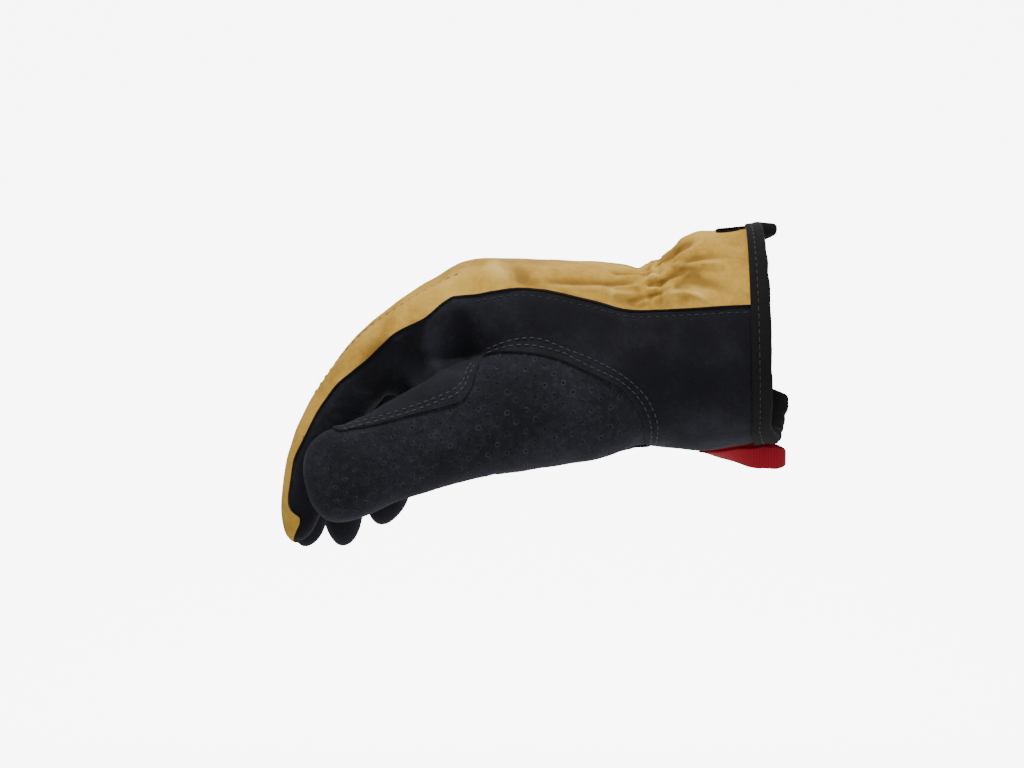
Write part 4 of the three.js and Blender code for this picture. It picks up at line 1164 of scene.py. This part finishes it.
# Stitches
def resampled(line, spacing):
    line = np.asarray(line, float)
    run = np.concatenate([[0], np.cumsum(np.linalg.norm(np.diff(line, axis=0), axis=1))])
    count = max(int(run[-1] / spacing), 1)
    at = (np.arange(count) + 0.5) * run[-1] / count
    return np.stack([np.interp(at, run, line[:, e]) for e in range(line.shape[1])], 1)


def dense(line, spacing):
    line = np.asarray(line, float)
    run = np.concatenate([[0], np.cumsum(np.linalg.norm(np.diff(line, axis=0), axis=1))])
    at = np.linspace(0, run[-1], max(int(run[-1] / spacing), 2))
    return np.stack([np.interp(at, run, line[:, e]) for e in range(line.shape[1])], 1)


def seen_from(line, sign):
    """A line in the side view laid on the leather, from the near side (-1) or the far side (+1)."""
    out = []
    for x, z in line:
        hit, normal, _, _ = surface.ray_cast(Vector((x, sign * 200, z)), Vector((0, -sign, 0)))
        if hit is not None:
            out.append((*hit, *normal))
    return np.array(out)


def rounded_line(pixels, steps=8):
    pts = [np.array(side(*q)) for q in pixels]
    return Finger.curve(pts, steps)


RINGS = np.array([-1, -0.62, 0, 0.62, 1])
FAT = np.array([0.3, 0.85, 1.0, 0.85, 0.3])
HEIGHT = np.array([-0.5, 0.35, 0.6, 0.35, -0.5])
AROUND = 6


def stitches(rows, length, radius):
    """One mesh of all the stitches of some rows, each a short bead sunk at its ends."""
    points = []
    faces = []
    for line, spacing in rows:
        if len(line) < 2:
            continue
        spots = resampled(line, spacing)
        if len(spots) > 1:
            along = np.gradient(spots[:, :3], axis=0)
        else:
            along = np.array([line[-1, :3] - line[0, :3]])
        for spot, way in zip(spots, along):
            normal = spot[3:] / (np.linalg.norm(spot[3:]) or 1)
            way = way - normal * (way @ normal)
            size = np.linalg.norm(way)
            if size < 1e-6:
                continue
            way /= size
            across = np.cross(normal, way)
            first = len(points)
            for t, fat, height in zip(RINGS, FAT, HEIGHT):
                middle = spot[:3] + way * t * length / 2 + normal * height * radius
                for k in range(AROUND):
                    a = 2 * math.pi * k / AROUND
                    points.append(middle + (across * math.cos(a) + normal * math.sin(a)) * radius * fat)
            for ring in range(len(RINGS) - 1):
                for k in range(AROUND):
                    m = (k + 1) % AROUND
                    faces.append([first + ring * AROUND + k, first + (ring + 1) * AROUND + k,
                                  first + (ring + 1) * AROUND + m, first + ring * AROUND + m])
            faces.append([first + k for k in range(AROUND)])
            faces.append([first + (len(RINGS) - 1) * AROUND + k for k in reversed(range(AROUND))])
    return np.array(points), faces


# Rows of the thumb's stitches, in the photograph's pixels
BORDER_OUT = ((486, 350), (500, 344.5), (513, 340.7), (530, 338.7), (545, 341.4), (563.7, 349.4),
              (583.8, 356.8), (598.6, 363.5), (616, 372.9), (630.7, 383.6), (642.8, 395.6), (650.8, 409),
              (655.5, 422.4), (656, 434), (654.5, 443))
BORDER_IN = ((486, 354), (500, 349), (513, 346), (530, 345.8), (545, 348.7), (563.7, 354.1), (583.8, 364.8),
             (598.6, 371.5), (617.3, 380.9), (630.7, 391.6), (641.4, 405), (648, 421), (650, 434),
             (649, 443.5))
S_OUT = ((343, 426), (367, 419.5), (388, 414), (417, 405), (442, 395.5), (456, 388.5), (464.5, 380),
         (468, 370), (473, 362.5))
S_IN = ((347, 428.5), (367, 423), (388, 418), (417, 409.5), (442, 400), (457, 394), (466, 385),
        (470.5, 374), (476, 364.5))
rows = []
for pixels in (BORDER_OUT, BORDER_IN, S_OUT, S_IN):
    rows.append((seen_from(dense(rounded_line(pixels), 0.6), -1), 2.9))
points, faces = stitches(rows, 2.1, 0.23)
border_stitches = mesh_object("border_stitches", points, faces, [thread])

# Topstitching below the seam, on both sides of the hand
side_line = [(-at * HAND_LENGTH, column(SIDE_SEAM, 1, np.array(at)) * CUFF_HEIGHT - 2.7)
             for at in np.linspace(0.055, 0.85, 90)]
rows = [(seen_from(side_line, -1), 3.0), (seen_from(side_line, 1), 3.0)]
points, faces = stitches(rows, 2.0, 0.19)
side_stitches = mesh_object("side_stitches", points, faces, [black_thread])
for obj in (border_stitches, side_stitches):
    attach(obj, "root")


# Seams beside the fingers' backs
def finger_rows():
    out = []
    for i, f in enumerate(fingers):
        for sign in (-1, 1):
            crest = i == 0 and sign == -1
            line = []
            for share in np.linspace(0.13, 0.62, 60) if crest else np.linspace(0.2, 0.84, 60):
                k = min(int(share * (len(f.s) - 1)), len(f.s) - 1)
                off = float(seam_level(i, np.array(share), np.array(f.y + sign * 9))) * FINGER_RADIUS + 1.5
                wide = column(FINGER_SECTION, 3, np.array(share)) * FINGER_RADIUS
                back = column(FINGER_SECTION, 1, np.array(share)) * FINGER_RADIUS
                across = wide * max(1 - (off / back) ** 2.2, 0.02) ** (1 / 2.2)
                if crest:
                    # Only the outline shows this row, along the top of the index finger.
                    off = float(back)
                    across = -0.5
                q = f.p[k] + f.up[k] * off
                spot = Vector((q[0], f.y + sign * across, q[1]))
                hit, normal, _, away = surface.find_nearest(spot)
                if hit is not None and away < 2.5:
                    line.append((*hit, *normal))
            out.append((np.array(line), 3.2))
    return out


points, faces = stitches(finger_rows(), 2.0, 0.19)
finger_stitches = mesh_object("finger_stitches", points, faces, [black_thread])
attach(finger_stitches, "root")


# Cuff binding
def hand_point(x, angle, out):
    middle, tall, half, power = hand_section(np.array(-x / HAND_LENGTH))
    c, s = math.cos(angle), math.sin(angle)
    reach = (abs(c) ** power + abs(s) ** power) ** (-1 / power)
    return np.array([x, c * reach * (half + out), middle + s * reach * (tall + out)])


# The tape's section: along the wrist from the cuff's edge, and out from the leather's middle
PROFILE = [(-7.6, 0.35), (-7.75, 0.75), (-7.45, 1.1), (-6.2, 1.3), (-4.4, 1.12), (-3.9, 1.0), (-3.4, 1.12),
           (-1.6, 1.35), (0.2, 1.4), (1.1, 1.15), (1.6, 0.4), (1.7, -0.7), (1.4, -1.9), (0.6, -2.7),
           (-1.0, -3.0), (-3.4, -2.95), (-3.9, -2.8), (-4.4, -2.95), (-6.2, -3.0), (-6.7, -2.8),
           (-6.6, -2.35), (-4.0, -2.3), (-1.0, -2.25), (0.3, -1.9), (0.7, -0.8),
           (0.3, 0.3), (-2.0, 0.5), (-5.0, 0.5)]


def binding():
    turns = 260
    points = []
    uv = []
    spots = np.array([[hand_point(0, 2 * math.pi * i / turns, 0)] for i in range(turns)]).reshape(-1, 3)
    ripple = waves(spots, 12, 21)
    small = waves(spots, 5.5, 22)
    run = 0.0
    for i in range(turns):
        angle = 2 * math.pi * i / turns
        edge = float(cuff_edge(np.array(angle)))
        if i:
            run += float(np.linalg.norm(spots[i] - spots[i - 1]))
        around = 0.0
        for k, (x, out) in enumerate(PROFILE):
            loose = smooth((x + 5) / 6)
            calm = 0.35 if math.cos(angle) < 0 else 0.7
            shift = (0.45 * ripple[i] + 0.25 * small[i]) * loose * calm
            swell = (0.22 * small[i] + 0.2 * ripple[i]) * loose * calm * (1 if out > -1 else -1)
            less = float(narrowed(np.arctan2(math.sin(angle), math.cos(angle)))) * min(max(-x / 7.6, 0), 1)
            points.append(hand_point(x + less + edge + shift, angle, out + swell))
            if k:
                around += math.hypot(x - PROFILE[k - 1][0], out - PROFILE[k - 1][1])
            uv.append((run, around))
    n = len(PROFILE)
    faces = []
    for i in range(turns):
        j = (i + 1) % turns
        for k in range(n):
            m = (k + 1) % n
            faces.append([i * n + k, j * n + k, j * n + m, i * n + m])
    return np.array(points), faces, np.array(uv), spots


def with_weave(obj, uv):
    layer = obj.data.uv_layers.new(name="weave")
    loops = np.empty(len(obj.data.loops), np.int32)
    obj.data.loops.foreach_get("vertex_index", loops)
    layer.data.foreach_set("uv", (uv[loops] * MM).ravel())


points, faces, uv, spots = binding()
cuff = mesh_object("cuff_edge_tape", points, faces, [tape])
with_weave(cuff, uv)
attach(cuff, "root")
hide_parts("cuff_binding")

line = []
for i in range(261):
    angle = 2 * math.pi * i / 260
    less = narrowed(np.arctan2(math.sin(angle), math.cos(angle))) * 3.9 / 7.6
    x = -3.9 + float(cuff_edge(np.array(angle)) + less)
    here = hand_point(x, angle, 1.05)
    n = hand_point(x, angle, 2.05) - here
    line.append((*here, *n))
points, faces = stitches([(np.array(line), 2.9)], 2.1, 0.2)
cuff_stitches = mesh_object("cuff_stitches", points, faces, [black_thread])
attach(cuff_stitches, "root")


# Bands: a strip of webbing along a path of (place, width direction, thickness direction)
def band(path, width, thick, name, cover):
    section = []
    corner = min(thick * 0.45, 0.5)
    for a, (w, t) in enumerate(((1, 1), (-1, 1), (-1, -1), (1, -1))):
        for k in range(3):
            angle = math.pi / 2 * (a + k / 2)
            section.append((w * (width / 2 - corner) + corner * math.cos(angle),
                            t * (thick / 2 - corner) + corner * math.sin(angle)))
    points = []
    uv = []
    run = 0.0
    for i, (place, wide, up) in enumerate(path):
        if i:
            run += float(np.linalg.norm(place - path[i - 1][0]))
        for w, t in section:
            points.append(place + wide * w + up * t)
            uv.append((run, w))
    n = len(section)
    faces = []
    for i in range(len(path) - 1):
        for k in range(n):
            m = (k + 1) % n
            faces.append([i * n + k, i * n + m, (i + 1) * n + m, (i + 1) * n + k])
    faces.append([k for k in reversed(range(n))])
    faces.append([(len(path) - 1) * n + k for k in range(n)])
    obj = mesh_object(name, np.array(points), faces, [cover])
    with_weave(obj, np.array(uv))
    return obj


# Red pull loop: two layers of webbing that open into a loop past the cuff's edge
LOOP_LENGTH, LOOP_WIDTH, LOOP_THICK, LOOP_OPENING = 32.5, 8.6, 1.3, 6.4


def loop_path():
    half = LOOP_THICK / 2
    drop = math.radians(4.3)
    palm = float(column(HAND, 2, np.array(0.19))) * CUFF_HEIGHT
    start = np.array([-0.19 * HAND_LENGTH, 0.09 * PALM_WIDTH, palm - 0.4])
    along = np.array([math.cos(drop), 0, -math.sin(drop)])
    bend = LOOP_OPENING / 2 + half
    straight = LOOP_LENGTH - bend
    route = []

    def thin(run):
        return 0.45 + 0.55 * smooth(run / 9)

    for t in np.linspace(0, 1, 44):
        opened = (bend - half - 0.02) * float(smooth((t - 0.45) * 2))
        apart = (half + 0.02) * float(thin(t * straight)) + opened
        route.append((t * straight, apart))
    for a in np.linspace(0, math.pi, 20)[1:-1]:
        route.append((straight + math.sin(a) * bend, math.cos(a) * bend))
    route += [(run, -apart) for run, apart in reversed(route[:44])]
    path = []
    for i, (run, apart) in enumerate(route):
        before = np.array(route[max(i - 1, 0)])
        after = np.array(route[min(i + 1, len(route) - 1)])
        step = (after - before) / np.linalg.norm(after - before)
        turn = math.radians(81) * float(np.clip((run / LOOP_LENGTH - 0.04) / 0.72, 0, 1)) ** 1.35
        wide = np.array([0, math.cos(turn), -math.sin(turn)])
        # The webbing is drawn in narrower where it folds back.
        bent = max((run - straight + 1.2) / (bend + 1.2), 0)
        across = np.cross(along, wide)
        across /= np.linalg.norm(across)
        place = start + along * run + across * apart
        out = (along * -step[1] + across * step[0]) * float(thin(run))
        path.append((place, wide * (1 - 0.3 * bent ** 2.5), out))
    return path


loop = band(loop_path(), LOOP_WIDTH, LOOP_THICK, "red_loop", webbing)
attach(loop, "root")
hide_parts("pull_loop")


# Small tab on the back of the cuff: tape folded over on itself, with its fold a little lifted
def tab_path():
    path = []
    route = [(-7.9, 1.35), (-10.5, 1.5), (-13.5, 1.75), (-16.5, 2.0), (-18.2, 2.05), (-18.75, 1.75),
             (-18.5, 1.35), (-17.0, 1.0),
             (-14.5, 0.75), (-12.0, 0.6), (-10.5, 0.55)]
    pts = Finger.curve([np.array(q) for q in route], 4)
    for i, (x, rise) in enumerate(pts):
        step = pts[min(i + 1, len(pts) - 1)] - pts[max(i - 1, 0)]
        here = hand_point(x, math.pi / 2, rise)
        there = hand_point(x + step[0], math.pi / 2, rise + step[1])
        way = (there - here) / np.linalg.norm(there - here)
        path.append((here, np.array([0, 1.0, 0]), np.cross(way, np.array([0, 1.0, 0]))))
    return path


def bowed_tab():
    """The tab follows the curve of the cuff's back across its width."""
    obj = band(tab_path(), 20.0, 0.55, "cuff_tab_tape", tape)
    mesh = obj.data
    co = np.empty(len(mesh.vertices) * 3)
    mesh.vertices.foreach_get("co", co)
    co = co.reshape(-1, 3)
    for i, (x, y, z) in enumerate(co):
        middle, tall, half, power = hand_section(np.array(-x / MM / HAND_LENGTH))
        share = (1 - abs(y / MM / half) ** power) ** (1 / power)
        co[i, 2] = z - (1 - share) * tall * MM
    mesh.vertices.foreach_set("co", co.ravel())
    mesh.update()
    bpy.context.view_layer.objects.active = obj
    return obj


tab = bowed_tab()
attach(tab, "root")
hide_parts("cuff_tab")


# Floor, light and camera
def plain(name, colour, roughness):
    m = bpy.data.materials.new(name)
    m.use_nodes = True
    s = m.node_tree.nodes["Principled BSDF"]
    s.inputs["Base Color"].default_value = (*colour, 1)
    s.inputs["Roughness"].default_value = roughness
    return m


floor_mesh = bpy.data.meshes.new("floor")
FLOOR = -0.36
corners = [(-4, -4, FLOOR), (4, -4, FLOOR), (4, 2.66, FLOOR), (-4, 2.66, FLOOR)]
floor_mesh.from_pydata(corners, [], [(0, 1, 2, 3)])
floor_mesh.materials.append(plain("pale floor", (0.86, 0.86, 0.86), 0.9))
floor = bpy.data.objects.new("floor", floor_mesh)
bpy.context.scene.collection.objects.link(floor)

world = bpy.data.worlds.new("studio")
bpy.context.scene.world = world
world.use_nodes = True
world.node_tree.nodes["Background"].inputs["Color"].default_value = (1, 1, 1, 1)
world.node_tree.nodes["Background"].inputs["Strength"].default_value = 0.42


def area(name, place, target, size, energy):
    light = bpy.data.lights.new(name, "AREA")
    light.size = size
    light.energy = energy
    obj = bpy.data.objects.new(name, light)
    bpy.context.scene.collection.objects.link(obj)
    obj.location = place
    obj.rotation_euler = (Vector(target) - Vector(place)).to_track_quat("-Z", "Y").to_euler()
    return obj


middle = (-0.09, 0, -0.01)
area("key", (-0.3, -0.5, 1.5), middle, 0.5, 38)
area("fill", (0.5, -1.6, 0.2), middle, 1.0, 10)
area("rim", (0.2, 1.2, 0.9), middle, 1.0, 8)

# A lit white backdrop behind the object, past where the view from behind is taken
backdrop_mesh = bpy.data.meshes.new("backdrop")
corners = [(-0.62, 2.7, -0.4), (0.42, 2.7, -0.4), (0.42, 2.7, 0.4), (-0.62, 2.7, 0.4)]
backdrop_mesh.from_pydata(corners, [], [(0, 1, 2, 3)])
glow = bpy.data.materials.new("lit backdrop")
glow.use_nodes = True
glow.node_tree.nodes["Principled BSDF"].inputs["Base Color"].default_value = (0.9, 0.9, 0.9, 1)
glow.node_tree.nodes["Principled BSDF"].inputs["Emission Color"].default_value = (1, 1, 1, 1)
glow.node_tree.nodes["Principled BSDF"].inputs["Emission Strength"].default_value = 7.0
backdrop_mesh.materials.append(glow)
backdrop = bpy.data.objects.new("backdrop", backdrop_mesh)
bpy.context.scene.collection.objects.link(backdrop)

camera = bpy.data.objects.new("camera", bpy.data.cameras.new("camera"))
bpy.context.scene.collection.objects.link(camera)
camera.data.lens = 200
camera.data.sensor_width = 36
camera.data.clip_end = 50
camera.location = (-0.09614, -2.1617, -0.01862)
camera.rotation_euler = (math.pi / 2, 0, 0)
bpy.context.scene.camera = camera
